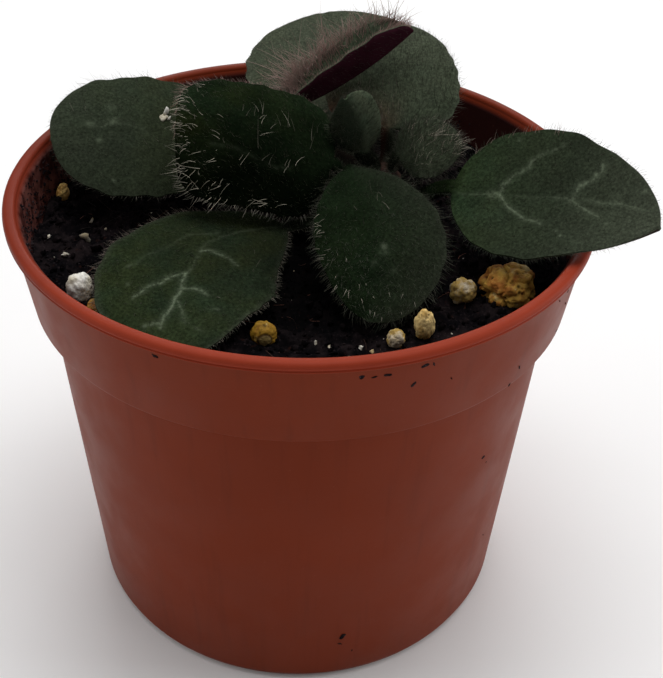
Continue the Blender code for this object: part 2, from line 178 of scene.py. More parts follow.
@dataclass
class Leaf:
    """One leaf: its form as in the solids, and its veins, hairs and tones.

    A place on the blade is (t, share): t runs from its base to its tip, and share from -1 at the
    left margin to 1 at the right one. A vein is (strength at its start, at its end, place, place,
    ...), and a dot (strength, size, t, share). fringe is the length of the hairs on the left margin,
    the right margin and the tip, fringe_per_mm how many there are, left and right, blush how pink
    they are, left and right, and hair_tone how dark, from the palest to the darkest. base_tone makes
    those at the base darker, as painted shade near the crown. A group of strands is (count, length,
    lowest place, highest place, aim), its aim in the frame, and gleam is how far the brightest of
    them are paler than the rest, as a painted highlight.
    thickness is how thick the hairs of the fringe and strands are, and spread how much they stray.
    pile is the length of the short hairs, pile_density how close they stand, and pile_below the
    share of them on the lower face.
    grey is the share of grey bloom at the base, at the tip and added to the right, and rim what is
    added at the margin, partly the grey of its hairs and partly painted sheen; a rim below 0 is
    painted shade on a lit margin. shade scales the blade's brightness, partly the leaf's own tone and
    partly painted light and shade. fall is painted light and shade: how bright the blade is at its
    base, middle and tip, and what is added to the right. olive is how olive it is at the base and at
    the tip, flush how maroon it is below, and foot how brown its base is. A crumb that lies on it is
    (t, share, size). grid is the mesh's rows on the petiole, rows on the blade, and columns.
    """

    name: str
    leaves_crown: tuple
    base: tuple
    tip: tuple
    half_width: float
    fold: float
    curl: float
    arch: float = 0.0010
    sway: float = 0.0
    roll: float = 0.0
    widest: float = 0.48
    base_fullness: float = 2.0
    tip_fullness: float = 2.0
    wave: float = 0.0001
    waves: float = 4.0
    rib: tuple = ((0.0, 0.0), (1.0, 0.0))
    rib_strength: float = 0.05
    veins: tuple = ()
    side_veins: float = 0.0
    dots: tuple = ()
    fringe: tuple = (0.0011, 0.0011, 0.0009)
    fringe_per_mm: tuple = (7.0, 7.0)
    thickness: float = 1.0
    spread: float = 0.20
    blush: tuple = (0.15, 0.15)
    hair_tone: tuple = (0.3, 0.9)
    pile: float = 0.00045
    pile_density: float = 1.0
    pile_below: float = 0.3
    strands: tuple = ()
    gleam: float = 0.0
    grey: tuple = (0.2, 0.2, 0.0)
    rim: float = 0.2
    shade: float = 1.0
    fall: tuple = (1.0, 1.0, 1.0, 0.0)
    olive: tuple = (0.2, 0.2)
    flush: float = 0.5
    crumbs: tuple = ()
    foot: float = 0.0
    base_tone: float = 0.0
    grid: tuple = (14, 106, 61)


LEAVES = [
    Leaf("leaf_left_back", (168, 0.0461), (-0.0056, 0.0098, 0.0490), (-0.0265, 0.0060, 0.0509),
         half_width=0.0086, arch=0.0008, sway=0.0003, roll=-19, fold=3, curl=-12, widest=0.58,
         tip_fullness=2.25, wave=0.00015, rib_strength=0.0, side_veins=0.03,
         fringe=(0.0007, 0.0012, 0.0006), fringe_per_mm=(5.0, 4.0), hair_tone=(0.45, 0.95),
         grey=(0.15, 0.60, 0.0), olive=(0.9, 0.0), rim=0.1, shade=1.15, fall=(0.95, 1.05, 1.0, 0.22),
         crumbs=((0.42, 0.31, 0.0013), (0.43, 0.24, 0.0010), (0.41, 0.20, 0.0006)),
         veins=((0.22, 0.06, (0.69, 0.18), (0.75, 0.10), (0.81, 0.20)),
                (0.14, 0.03, (0.69, 0.18), (0.56, 0.07), (0.48, -0.10)),
                (0.20, 0.03, (0.77, -0.10), (0.74, -0.16))),
         dots=((0.30, 0.00045, 0.69, 0.18), (0.26, 0.0003, 0.77, -0.12), (0.25, 0.0002, 0.72, -0.78),
               (0.16, 0.0005, 0.69, 0.43), (0.20, 0.0005, 0.80, 0.18)),
         strands=((6, 0.0012, (0.2, -0.6), (0.9, 0.8), (-0.3, 0.2, 0.8)),)),
    Leaf("leaf_left", (205, 0.0478), (0.0032, 0.0021, 0.0508), (-0.0128, 0.0017, 0.0545),
         half_width=0.0078, roll=-27, fold=0, curl=-22, widest=0.40, base_fullness=3.4, tip_fullness=4.7,
         rib_strength=0.0, fringe=(0.0010, 0.0007, 0.0012), fringe_per_mm=(5.0, 10.0), thickness=1.3,
         spread=0.16, blush=(0.1, 1.0), hair_tone=(-0.4, 0.6), gleam=0.5, pile=0.0006, pile_density=0.5,
         base_tone=0.8, grey=(0.0, 0.0, 0.0), olive=(0.0, 0.6), rim=0.1, shade=0.46,
         fall=(1.1, 0.8, 1.2, 1.0),
         rib=((0.10, -0.20), (0.26, -0.32), (0.35, -0.38), (0.49, -0.32), (0.62, -0.22), (0.78, -0.20)),
         veins=((0.06, 0.03, (0.78, -0.20), (0.62, -0.22), (0.49, -0.32)),
                (0.02, 0.05, (0.49, -0.32), (0.35, -0.38), (0.26, -0.32))),
         strands=((4, 0.0019, (0.12, 0.02), (0.24, 0.40), (-0.10, 0.0, 1.0)),
                  (4, 0.0022, (0.27, 0.15), (0.38, 0.52), (-0.05, 0.0, 1.0)),
                  (4, 0.0018, (0.44, 0.30), (0.57, 0.52), (0.0, 0.0, 1.0)),
                  (1, 0.0032, (0.49, -0.18), (0.50, -0.17), (0.02, 0.0, 1.0)),
                  (5, 0.0013, (0.20, -0.45), (0.40, 0.0), (0.25, 0.1, 0.9)),
                  (10, 0.0013, (0.40, -0.50), (0.72, 0.40), (0.45, 0.1, 0.7)),
                  (9, 0.0012, (0.70, -0.20), (0.92, 0.70), (-0.40, 0.1, 0.8)),
                  (16, 0.0017, (0.62, -0.97), (0.96, -0.62), (-0.60, -0.5, -0.30)),
                  (12, 0.0012, (0.72, -0.75), (0.96, -0.20), (-0.70, -0.3, -0.10)),
                  (10, 0.0014, (0.20, -0.98), (0.60, -0.80), (-0.80, -0.3, 0.05)),
                  (70, 0.0012, (0.92, -0.92), (0.99, 0.92), (-0.9, -0.15, 0.05)),
                  (20, 0.0011, (0.84, -0.9), (0.93, 0.92), (-0.7, -0.1, 0.5)))),
    Leaf("leaf_front_left", (222, 0.0460), (-0.0017, -0.0034, 0.0463), (-0.0102, -0.0238, 0.0454),
         half_width=0.0087, sway=0.0048, roll=-2, fold=3, curl=-10, widest=0.52, base_fullness=1.75,
         tip_fullness=1.85, wave=0.00015, rib_strength=0.08, fringe=(0.0007, 0.0008, 0.0005),
         fringe_per_mm=(8.0, 8.0), hair_tone=(0.25, 0.8), blush=(0.2, 0.5), rim=0.40,
         grey=(0.20, 0.10, -0.05), olive=(0.8, 0.4), shade=1.20, fall=(0.55, 0.92, 1.35, 0.14),
         grid=(14, 150, 87),
         rib=((0.0, 0.05), (0.25, 0.15), (0.34, 0.15), (0.38, 0.10), (0.50, 0.0), (0.55, 0.03)),
         veins=((0.46, 0.26, (0.38, 0.10), (0.35, 0.0), (0.35, -0.15), (0.35, -0.30), (0.37, -0.40)),
                (0.06, 0.28, (0.39, 0.09), (0.50, 0.0), (0.55, 0.03)),
                (0.56, 0.38, (0.55, 0.03), (0.58, 0.12), (0.63, 0.23), (0.66, 0.35), (0.69, 0.43),
                 (0.72, 0.53)),
                (0.50, 0.50, (0.55, 0.03), (0.62, 0.0), (0.65, -0.02), (0.71, 0.03), (0.76, 0.07),
                 (0.80, 0.15), (0.86, 0.26)),
                (0.50, 0.30, (0.65, -0.02), (0.64, -0.15), (0.65, -0.25), (0.68, -0.32)),
                (0.36, 0.24, (0.73, 0.0), (0.79, -0.07), (0.85, -0.12)),
                (0.42, 0.30, (0.84, 0.23), (0.84, 0.35), (0.85, 0.50)),
                (0.12, 0.06, (0.25, 0.25), (0.34, 0.43), (0.45, 0.43), (0.50, 0.53), (0.57, 0.62)),
                (0.16, 0.08, (0.77, -0.42), (0.78, -0.55)), (0.16, 0.08, (0.88, -0.30), (0.90, -0.45))),
         dots=((0.36, 0.00018, 0.37, -0.42), (0.36, 0.00018, 0.72, 0.53), (0.20, 0.0002, 0.78, -0.52),
               (0.26, 0.0002, 0.68, -0.32), (0.30, 0.0003, 0.38, 0.10), (0.30, 0.0002, 0.55, 0.03),
               (0.30, 0.0003, 0.65, -0.01), (0.20, 0.0002, 0.66, 0.60), (0.20, 0.0002, 0.58, 0.66)),
         strands=((5, 0.0009, (0.1, -0.9), (0.9, 0.9), (0.3, -0.2, 0.8)),)),
    Leaf("leaf_front", (262, 0.0478), (0.0049, 0.0006, 0.0511), (0.0063, -0.0184, 0.0455),
         half_width=0.0066, arch=0.0020, sway=-0.0020, fold=2, curl=-24, widest=0.52, base_fullness=1.9,
         tip_fullness=1.85, rib_strength=0.0, fringe=(0.0011, 0.0010, 0.0009), fringe_per_mm=(6.0, 7.0),
         hair_tone=(0.60, 1.0), gleam=0.4, thickness=1.2, pile=0.0007, pile_density=1.3,
         grey=(0.12, 0.08, -0.45), olive=(0.0, 0.2), rim=0.25, shade=0.86,
         rib=((0.0, 0.0), (0.33, -0.13), (0.62, -0.08), (0.92, -0.20)),
         dots=((0.35, 0.00028, 0.62, -0.02), (0.12, 0.0005, 0.65, -0.02), (0.10, 0.0003, 0.72, 0.12),
               (0.10, 0.0003, 0.74, -0.20)),
         strands=((8, 0.0013, (0.2, -0.3), (0.55, 0.55), (-0.25, -0.2, 0.9)),
                  (12, 0.0009, (0.62, 0.55), (0.95, 0.92), (-0.45, -0.7, -0.1)),
                  (16, 0.0009, (0.30, 0.80), (0.80, 0.98), (-0.8, -0.4, 0.1)),
                  (14, 0.0007, (0.80, -0.85), (0.98, 0.5), (0.1, -0.8, 0.0)))),
    Leaf("leaf_right", (318, 0.0464), (0.0152, -0.0024, 0.0507), (0.0327, -0.0141, 0.0537),
         half_width=0.0078, arch=0.0, sway=-0.0010, roll=26, fold=8, curl=-4, widest=0.40,
         base_fullness=1.98, tip_fullness=1.52, wave=0.00018, waves=3.0, fringe=(0.0007, 0.0008, 0.0004),
         fringe_per_mm=(4.5, 9.0), hair_tone=(0.45, 0.95), base_tone=0.4, blush=(0.8, 0.15),
         grey=(0.0, 0.90, 0.0), olive=(0.3, 0.1), rim=0.0, shade=1.28, fall=(1.55, 0.92, 1.35, 0.06),
         pile_below=0.05, grid=(14, 150, 87),
         rib=((0.0, 0.25), (0.06, 0.23), (0.15, 0.10), (0.23, 0.05), (0.41, 0.0), (0.57, -0.07),
              (0.66, -0.12), (0.77, -0.20), (0.88, -0.32), (0.93, -0.47)),
         veins=((0.04, 0.34, (0.03, 0.24), (0.06, 0.23), (0.15, 0.10), (0.20, 0.07), (0.23, 0.05)),
                (0.50, 0.20, (0.23, 0.05), (0.23, -0.12), (0.26, -0.25), (0.29, -0.32), (0.32, -0.40),
                 (0.33, -0.52), (0.35, -0.60), (0.38, -0.65), (0.41, -0.70)),
                (0.46, 0.34, (0.23, 0.05), (0.29, 0.23), (0.34, 0.30), (0.40, 0.38), (0.46, 0.40),
                 (0.49, 0.43)), (0.10, 0.38, (0.41, 0.0), (0.50, -0.05), (0.57, -0.07)),
                (0.50, 0.36, (0.57, -0.07), (0.58, -0.27), (0.61, -0.38), (0.63, -0.47), (0.64, -0.57),
                 (0.65, -0.68), (0.64, -0.75)),
                (0.42, 0.30, (0.57, -0.07), (0.58, -0.02), (0.63, 0.03), (0.69, 0.12), (0.72, 0.15)),
                (0.14, 0.26, (0.58, -0.10), (0.66, -0.12), (0.72, -0.12), (0.77, -0.20)),
                (0.34, 0.14, (0.77, -0.20), (0.80, -0.22), (0.88, -0.32), (0.93, -0.47)),
                (0.08, 0.26, (0.85, -0.68), (0.87, -0.85))),
         dots=((0.30, 0.00018, 0.58, 0.53), (0.32, 0.00018, 0.61, 0.62), (0.30, 0.00018, 0.78, 0.30),
               (0.22, 0.0002, 0.24, -0.85), (0.32, 0.0002, 0.41, -0.72), (0.40, 0.0002, 0.49, 0.43),
               (0.16, 0.0003, 0.44, -0.80), (0.42, 0.00028, 0.63, -0.55), (0.38, 0.0002, 0.77, -0.19),
               (0.34, 0.00045, 0.21, 0.07), (0.38, 0.00034, 0.57, -0.06), (0.24, 0.0003, 0.30, -0.36),
               (0.22, 0.0005, 0.19, 0.08)),
         strands=((26, 0.0013, (0.04, -0.99), (0.42, -0.93), (0.15, 0.35, 0.8)),)),
    Leaf("leaf_back_left", (112, 0.0461), (0.0051, 0.0107, 0.0488), (0.0022, 0.0288, 0.0560),
         half_width=0.0107, sway=0.0005, fold=4, curl=-8, widest=0.53, base_fullness=2.2,
         tip_fullness=1.9, wave=0.00012, side_veins=0.05, fringe=(0.0004, 0.0004, 0.0003),
         fringe_per_mm=(4.0, 4.0), blush=(0.3, 0.6), grey=(0.7, 0.85, 0.0), olive=(0.9, 0.9), shade=1.95),
    Leaf("leaf_back_right", (72, 0.0478), (0.0092, 0.0088, 0.0512), (0.0109, 0.0220, 0.0576),
         half_width=0.0073, arch=0.0012, roll=-4, fold=4, curl=-14, widest=0.30, base_fullness=2.6,
         tip_fullness=1.8, side_veins=0.03, fringe=(0.0008, 0.0009, 0.0005), fringe_per_mm=(6.0, 6.0),
         blush=(0.5, 0.6), hair_tone=(0.4, 0.9), grey=(0.5, 0.85, 0.0), shade=2.1, pile=0.0007,
         pile_density=1.6, foot=0.85,
         dots=((0.22, 0.00035, 0.45, 0.1), (0.22, 0.00035, 0.62, 0.15)),
         strands=((90, 0.0013, (0.02, -0.95), (0.35, 0.2), (0.05, 0.1, 0.9)),)),
    Leaf("leaf_folded", (150, 0.0478), (-0.0014, 0.0108, 0.0530), (0.0114, 0.0154, 0.0599),
         half_width=0.0035, arch=-0.0008, roll=-2, fold=61, curl=5, widest=0.65, base_fullness=2.05,
         tip_fullness=1.95, fringe=(0.0016, 0.0005, 0.0010), fringe_per_mm=(10.0, 12.0), thickness=1.9,
         blush=(1.0, 0.9), hair_tone=(0.0, 0.35), grey=(0.5, 0.7, 0.0), flush=1.0, shade=3.7,
         pile_below=0.8, grid=(12, 66, 41),
         strands=((150, 0.0036, (0.0, -0.99), (0.95, -0.70), (-0.10, 0.25, 0.9)),
                  (150, 0.0034, (0.0, -0.99), (0.60, -0.60), (-0.50, 0.30, 0.8)),
                  (40, 0.0020, (0.84, -0.99), (1.0, -0.5), (0.60, 0.1, 0.8)),
                  (90, 0.0026, (0.0, -0.99), (0.16, 0.5), (-0.75, 0.2, 0.6)),
                  (90, 0.0044, (0.0, -0.99), (0.30, -0.6), (-0.9, 0.2, 0.50)))),
    Leaf("leaf_young_left", (170, 0.0484), (0.0061, 0.0046, 0.0511), (0.0043, 0.0050, 0.0565),
         half_width=0.0031, arch=0.0006, roll=-50, fold=16, curl=10, widest=0.5, base_fullness=2.8,
         tip_fullness=2.4, fringe=(0.0008, 0.0008, 0.0006), fringe_per_mm=(8.0, 8.0), blush=(0.2, 0.2),
         hair_tone=(0.55, 1.0), pile=0.0009, pile_density=4.0, pile_below=1.0, grey=(0.5, 0.5, 0.0),
         rim=-0.4, flush=0.0, shade=3.2, fall=(0.8, 0.9, 1.0, -0.65), grid=(12, 66, 41)),
    Leaf("leaf_young_right", (335, 0.0484), (0.0098, 0.0034, 0.0511), (0.0165, 0.0030, 0.0520),
         half_width=0.0038, roll=28, fold=2, curl=-28, base_fullness=2.8, fringe=(0.0009, 0.0009, 0.0010),
         fringe_per_mm=(8.0, 10.0), blush=(0.25, 0.2), hair_tone=(0.4, 1.0), pile=0.0009,
         pile_density=4.5, gleam=0.86, grey=(0.5, 0.55, 0.0), shade=2.1, fall=(0.35, 1.05, 1.05, 0.0),
         grid=(12, 66, 41),
         strands=((26, 0.0017, (0.86, -0.5), (0.99, 0.5), (0.8, 0.2, 0.3)),
                  (110, 0.0010, (0.2, -0.8), (0.95, 0.8), (0.2, -0.1, 0.8)),
                  (14, 0.0023, (0.50, -0.36), (0.60, -0.20), (1.0, 0.05, 0.25)))),
]


@dataclass
class Grain:
    """One grain in the top of the mix: its centre, size and lumps, and how its skin is.

    lobes and pits say how deep these are, stained how dark the pits and creases look (partly stain,
    partly painted shade), warm how yellow and dim how dark the grain is, and disc where a pale disc
    with a dark ring lies on it.
    """

    name: str
    finish: str
    centre: tuple
    size: tuple
    lumps: float = 0.16
    pits: float = 0.10
    stained: float = 0.85
    lobes: float = 0.5
    warm: float = 0.8
    dim: float = 0.0
    disc: tuple = ()


GRAINS = [
    Grain("perlite_white", "perlite", (-0.0213, -0.0122, 0.0445), (0.0026, 0.0024, 0.0032),
          lumps=0.10, pits=0.01, stained=0.3, lobes=0.1, warm=0.0),
    Grain("perlite_orange", "pumice", (-0.0192, -0.0149, 0.0442), (0.0020, 0.0018, 0.0020),
          dim=0.15),
    Grain("fertiliser_prill", "pumice", (-0.0034, -0.0190, 0.0444), (0.0024, 0.0024, 0.0024),
          lumps=0.05, pits=0.05, lobes=0.2, warm=1.0, dim=0.62, disc=(0.14, -0.98, -0.02)),
    Grain("perlite_small", "perlite", (0.0088, -0.0196, 0.0445), (0.0017, 0.0016, 0.0018),
          pits=0.04, warm=1.5),
    Grain("perlite_tall", "pumice", (0.0115, -0.0182, 0.0450), (0.0019, 0.0017, 0.0032), pits=0.03,
          lobes=0.2, warm=0.15),
    # The cream grain's dim is painted shade from the leaf over it.
    Grain("perlite_cream", "perlite", (0.0157, -0.0124, 0.0448), (0.0025, 0.0024, 0.0026),
          lumps=0.20, pits=0.02, lobes=0.5, warm=1.2, dim=0.28),
    Grain("pumice_amber", "pumice", (0.0202, -0.0116, 0.0449), (0.0050, 0.0044, 0.0042),
          lumps=0.22, pits=0.08, lobes=0.9),
    Grain("perlite_yellow", "pumice", (-0.0260, 0.0063, 0.0442), (0.0014, 0.0021, 0.0018), warm=0.5),
]

# How closely the lumps, lobes, pits and roughness lie round a grain, and how wide its pits and the
# creases between its lobes are.
GRAIN_LUMP_RATE = 1.7
GRAIN_LOBE_RATE = 0.95
GRAIN_PIT_RATE = 3.4
GRAIN_SKIN_RATE = 3.2
GRAIN_PIT_WIDTH = 0.34
GRAIN_CREASE_WIDTH = 0.40

# The prill's pale disc and the dark ring round it, as angles seen from the prill's centre, in radians.
DISC_EDGE = 0.50
DISC_FADE = 0.06
RING = 0.57
RING_WIDTH = 0.09

# The stage: the camera's place, and its turns one after another, in degrees.
CAMERA_PLACE = (0.0, -0.10647, 0.11062)
CAMERA_TURNS = ((-1.881, "Z"), (52.675, "X"), (1.796, "Z"))
FLOOR_RADIUS = 3.0
FLOOR_DROP = 0.00005

# The lights: name, place, size and power. All of them face one point in the pot.
LIGHTS = [
    ("key", (0.03, 0.10, 0.60), 0.50, 2.4),
    ("side_right", (0.55, 0.05, 0.22), 0.35, 1.2),
    ("side_left", (-0.55, 0.05, 0.22), 0.35, 0.8),
    ("back", (0.0, 0.60, 0.30), 0.40, 1.0),
]
LIT_POINT = Vector((0.0, 0.0, 0.03))


def linear(red, green, blue):
    """Turn a display colour, 0 to 255 a channel, into the linear values that shaders take."""
    return tuple(((channel / 255 + 0.055) / 1.055) ** 2.4 for channel in (red, green, blue))


# Colours of details that the settings don't hold.
POT_DUST = linear(150, 96, 78)
POT_SPLASHES = linear(104, 62, 56)
POT_SMEARS = linear(34, 22, 18)
PEAT_RUST = linear(52, 30, 24)
PEAT_GRIT = linear(62, 52, 54)
# The darkest painted shade on the mix, under the leaves at the front.
PEAT_PAINTED_SHADE = linear(4, 4, 4)
THREAD_DARK = linear(24, 16, 14)
THREAD_PALE = linear(108, 68, 54)
PERLITE_WHITE = linear(246, 243, 234)
PERLITE_CREAM = linear(228, 219, 196)
PERLITE_STAIN = linear(176, 146, 80)
PERLITE_BROWN = linear(120, 96, 62)
PERLITE_PIT = linear(132, 106, 70)
PERLITE_DIM = linear(20, 14, 8)
PUMICE_GOLD = linear(218, 168, 52)
PUMICE_ORANGE = linear(166, 88, 22)
PUMICE_STRAW = linear(242, 216, 154)
PUMICE_TAN = linear(220, 182, 104)
PUMICE_PALE_AND_HIGHLIGHT = linear(226, 206, 148)
PUMICE_RUST = linear(84, 44, 18)
PUMICE_PIT = linear(38, 20, 9)
PUMICE_DIM = linear(40, 20, 8)
PRILL_DISC = linear(122, 104, 62)
LEAF_OLIVE = linear(36, 41, 18)
LEAF_FOOT = linear(66, 34, 28)
LEAF_BELOW_DARK = linear(26, 32, 24)
LEAF_BELOW_PALE = linear(34, 38, 29)
VEIN_BELOW = linear(84, 66, 52)
HAIR_DARK = linear(40, 46, 34)
BARK_DARK = linear(30, 18, 14)
BARK_PALE = linear(64, 38, 30)


def colour_property(name, description, *display):
    """A colour setting whose default is given as a display colour."""
    return FloatVectorProperty(name=name, description=description, default=linear(*display), size=3,
                               subtype="COLOR", min=0.0, max=1.0)


class PotSettings(bpy.types.PropertyGroup):
    """Sizes and colours of the nursery pot."""

    segments: IntProperty(name="Segments", description="Faces round the pot", default=180, min=48)
    lip_width: FloatProperty(name="Lip width", description="Width of the beaded lip",
                             default=0.0013, min=0.0008, unit="LENGTH")
    # One plastic: the wall's colour is painted darker than the lip's as painted shade on the body, and the
    # inside's colour is painted shade too.
    wall: colour_property("Wall", "Colour of the moulded wall", 118, 46, 22)
    lip: colour_property("Lip", "Colour of the lip, paler than the wall", 146, 56, 36)
    inside: colour_property("Inside", "Colour of the wall inside, damp and shaded", 55, 23, 20)


class LeafSettings(bpy.types.PropertyGroup):
    """Colours and hairs of the leaves."""

    pile_per_mm2: FloatProperty(name="Pile", description="Short hairs on each square millimetre",
                                default=12.0, min=0.0)
    hair_radius: FloatProperty(name="Hair radius", description="Radius of a hair at its root",
                               default=0.000017, min=0.000005, unit="LENGTH", precision=6)
    blade: colour_property("Blade", "Colour of the upper face", 25, 36, 22)
    bloom: colour_property("Bloom", "Colour of the upper face where hairs grey it", 54, 58, 48)
    vein: colour_property("Veins", "Colour of the pale veins", 130, 142, 118)
    underside: colour_property("Underside", "Colour of the lower face", 44, 19, 27)
    hair: colour_property("Hairs", "Colour of the brightest hairs", 205, 200, 182)
    blush: colour_property("Blush", "Colour of the pinkest hairs", 227, 171, 168)


class SoilSettings(bpy.types.PropertyGroup):
    """Sizes, counts and colours of the potting mix."""

    rings: IntProperty(name="Rings", description="Rings of faces on top of the mix", default=110, min=20)
    crumbs: IntProperty(name="Crumbs", description="Loose crumbs on the mix", default=4600, min=1)
    fibres: IntProperty(name="Fibres", description="Threads of moss and root", default=170, min=1)
    specks: IntProperty(name="Specks", description="Scattered white specks", default=44, min=1)
    dark: colour_property("Dark", "Colour of damp peat", 11, 10, 12)
    brown: colour_property("Brown", "Colour of its dry crumbs", 34, 28, 29)


class StageSettings(bpy.types.PropertyGroup):
    """The floor, the lights and the camera."""

    floor: colour_property("Floor", "Colour of the floor", 248, 248, 248)
    sky: FloatProperty(name="Sky", description="Strength of the even light", default=0.25, min=0.0)
    lens: FloatProperty(name="Lens", description="Focal length in millimetres", default=63.10, min=10.0)


class Finish:
    """A material's node tree, with short ways to add to it."""

    def __init__(self, name, **constants):
        self.material = bpy.data.materials.new(name)
        self.material.use_nodes = True
        self.tree = self.material.node_tree
        self.shader = self.tree.nodes["Principled BSDF"]
        for socket, value in constants.items():
            self.shader.inputs[socket.replace("_", " ")].default_value = value
        self.place = self.add("TexCoord").outputs["Object"]

    def add(self, kind, sockets=None, **settings):
        """Add a node with these settings, and set or link its sockets."""
        made = self.tree.nodes.new("ShaderNode" + kind)
        for setting, value in settings.items():
            setattr(made, setting, value)
        for key, value in (sockets or {}).items():
            if isinstance(value, bpy.types.NodeSocket):
                self.tree.links.new(value, made.inputs[key])
            else:
                made.inputs[key].default_value = value
        return made

    def stretched(self, x, y, z):
        """The place on the piece, scaled along each axis."""
        return self.add("Mapping", {"Vector": self.place, "Scale": (x, y, z)}).outputs["Vector"]

    def noise(self, scale, detail=3.0, roughness=0.55, place=None, distortion=0.0):
        """Smooth noise with this many features to the metre."""
        return self.add("TexNoise", {"Vector": place or self.place, "Scale": scale, "Detail": detail,
                                     "Roughness": roughness, "Distortion": distortion}).outputs["Fac"]

    def attribute(self, name):
        """A number that the mesh carries at each vertex."""
        return self.add("Attribute", attribute_name=name).outputs["Fac"]

    def span(self, value, low, high, new_low=0.0, new_high=1.0):
        """Map a value's span onto another, smoothly and without going past its ends."""
        return self.add("MapRange", {"Value": value, 1: low, 2: high, 3: new_low, 4: new_high},
                        interpolation_type="SMOOTHSTEP").outputs["Result"]

    def patches(self, scale, detail, roughness, low, high, new_low=0.0, new_high=1.0, **settings):
        """Noise, with its values from low to high spread over a new span."""
        return self.span(self.noise(scale, detail, roughness, **settings), low, high, new_low, new_high)

    def math(self, operation, first, second=0.0):
        """Arithmetic on two values."""
        return self.add("Math", {0: first, 1: second}, operation=operation).outputs["Value"]

    def product(self, first, second):
        """One value times another."""
        return self.math("MULTIPLY", first, second)

    def mix(self, factor, first, second, blend="MIX"):
        """Mix two colours, each a socket or a linear colour."""
        ends = [value if isinstance(value, bpy.types.NodeSocket) else (*value[:3], 1.0)
                for value in (first, second)]
        return self.add("Mix", {0: factor, 6: ends[0], 7: ends[1]}, data_type="RGBA",
                        blend_type=blend).outputs[2]

    def dimmed(self, colour, value):
        """A colour times a value."""
        grey = self.add("CombineColor", {0: value, 1: value, 2: value}).outputs[0]
        return self.mix(1.0, colour, grey, "MULTIPLY")

    def drive(self, socket, value):
        """Link a value to one of the shader's sockets."""
        self.tree.links.new(value, self.shader.inputs[socket])

    def coloured(self, colour, height=None, distance=0.0, strength=1.0):
        """The material with this colour and, where a height is given, relief that is distance deep."""
        self.drive("Base Color", colour)
        if height is not None:
            relief = self.add("Bump", {"Height": height, "Distance": distance, "Strength": strength})
            self.drive("Normal", relief.outputs["Normal"])
        return self.material


def scaled(colour, factor):
    """A colour made darker or lighter."""
    return tuple(channel * factor for channel in colour)


def pot_finish(name, settings):
    """Satin moulded plastic, streaked and dusty; painted shade makes the wall darker than the lip."""
    made = Finish(name, Roughness=0.42, Specular_IOR_Level=0.05)
    across_pot, depth, height = made.add("SeparateXYZ", {0: made.place}).outputs
    wall = made.mix(made.noise(70, 4), scaled(settings.wall, 0.86), scaled(settings.wall, 1.14))
    streaks = made.patches(1.0, 3, 0.6, 0.52, 0.72, 0.0, 0.35, place=made.stretched(700, 700, 22))
    wall = made.mix(streaks, wall, scaled(settings.wall, 0.72))
    lip = made.mix(made.noise(500, 3), scaled(settings.lip, 0.90), scaled(settings.lip, 1.10))
    # The lip is darker towards the left, and painted shade darkens it at the back.
    at_left = made.span(across_pot, -0.018, -0.029, 0.0, 0.6)
    lip = made.mix(at_left, lip, scaled(settings.lip, 0.45))
    lip_painted_shade_at_back = made.span(depth, 0.0, 0.02, 0.0, 0.75)
    lip = made.mix(lip_painted_shade_at_back, lip, scaled(settings.wall, 0.75))
    at_lip = made.span(height, POT_HEIGHT - LIP_DEPTH * 1.15, POT_HEIGHT - LIP_DEPTH * 0.75)
    outside = made.mix(at_lip, wall, lip)
    # The inside's darker colour is painted shade.
    inside = made.mix(made.noise(900, 5, 0.65), scaled(settings.inside, 0.55), settings.inside)
    splashes = made.product(made.span(across_pot, -0.018, -0.027), made.patches(800, 4, 0.6, 0.35, 0.65))
    inside = made.mix(splashes, inside, POT_SPLASHES)
    within = made.attribute("inside")
    colour = made.mix(within, outside, inside)
    low_down = made.span(height, SOIL_LEVEL, POT_HEIGHT - 0.0015, 1.0, 0.25)
    smears = made.product(made.product(made.patches(1500, 5, 0.7, 0.60, 0.74), within), low_down)
    colour = made.mix(smears, colour, POT_SMEARS)
    colour = made.mix(made.patches(2600, 3, 0.6, 0.66, 0.80, 0.0, 0.22), colour, POT_DUST)
    made.drive("Roughness", made.patches(160, 4, 0.55, 0.3, 0.7, 0.38, 0.50))
    return made.coloured(colour, made.noise(2200, 2), 0.00001, 0.5)


def soil_finish(name, settings, brightness=1.0):
    """Damp dark peat with browner crumbs, and painted shade under the leaves at the front."""
    made = Finish(name, Roughness=0.92, Specular_IOR_Level=0.0)
    colour = made.mix(made.patches(420, 5, 0.65, 0.42, 0.68), scaled(settings.dark, brightness),
                      scaled(settings.brown, brightness))
    colour = made.mix(made.patches(1300, 3, 0.6, 0.62, 0.74, 0.0, 0.5), colour, PEAT_RUST)
    grit = made.patches(3600, 3, 0.7, 0.60, 0.70, 0.0, 0.75)
    colour = made.mix(grit, colour, scaled(PEAT_GRIT, brightness))
    place = made.add("SeparateXYZ", {0: made.place}).outputs
    # Painted shade: the mix darkens towards a point under the leaves at the front.
    squares = [made.math("POWER", made.math("SUBTRACT", place[axis], PAINTED_SHADE_CENTRE[axis]), 2.0) for axis in (0, 1)]
    painted_shade = made.span(made.math("ADD", *squares), 0.0, PAINTED_SHADE_RADIUS ** 2, 0.85, 0.0)
    colour = made.mix(painted_shade, colour, PEAT_PAINTED_SHADE)
    return made.coloured(colour, made.noise(5200, 5, 0.7), 0.00006, 0.9)


def fibre_finish(name):
    """Brown threads of moss and root."""
    made = Finish(name, Roughness=0.8, Specular_IOR_Level=0.2)
    colour = made.mix(made.attribute("tone"), THREAD_DARK, THREAD_PALE)
    return made.coloured(colour, made.noise(6000, 2), 0.00001)


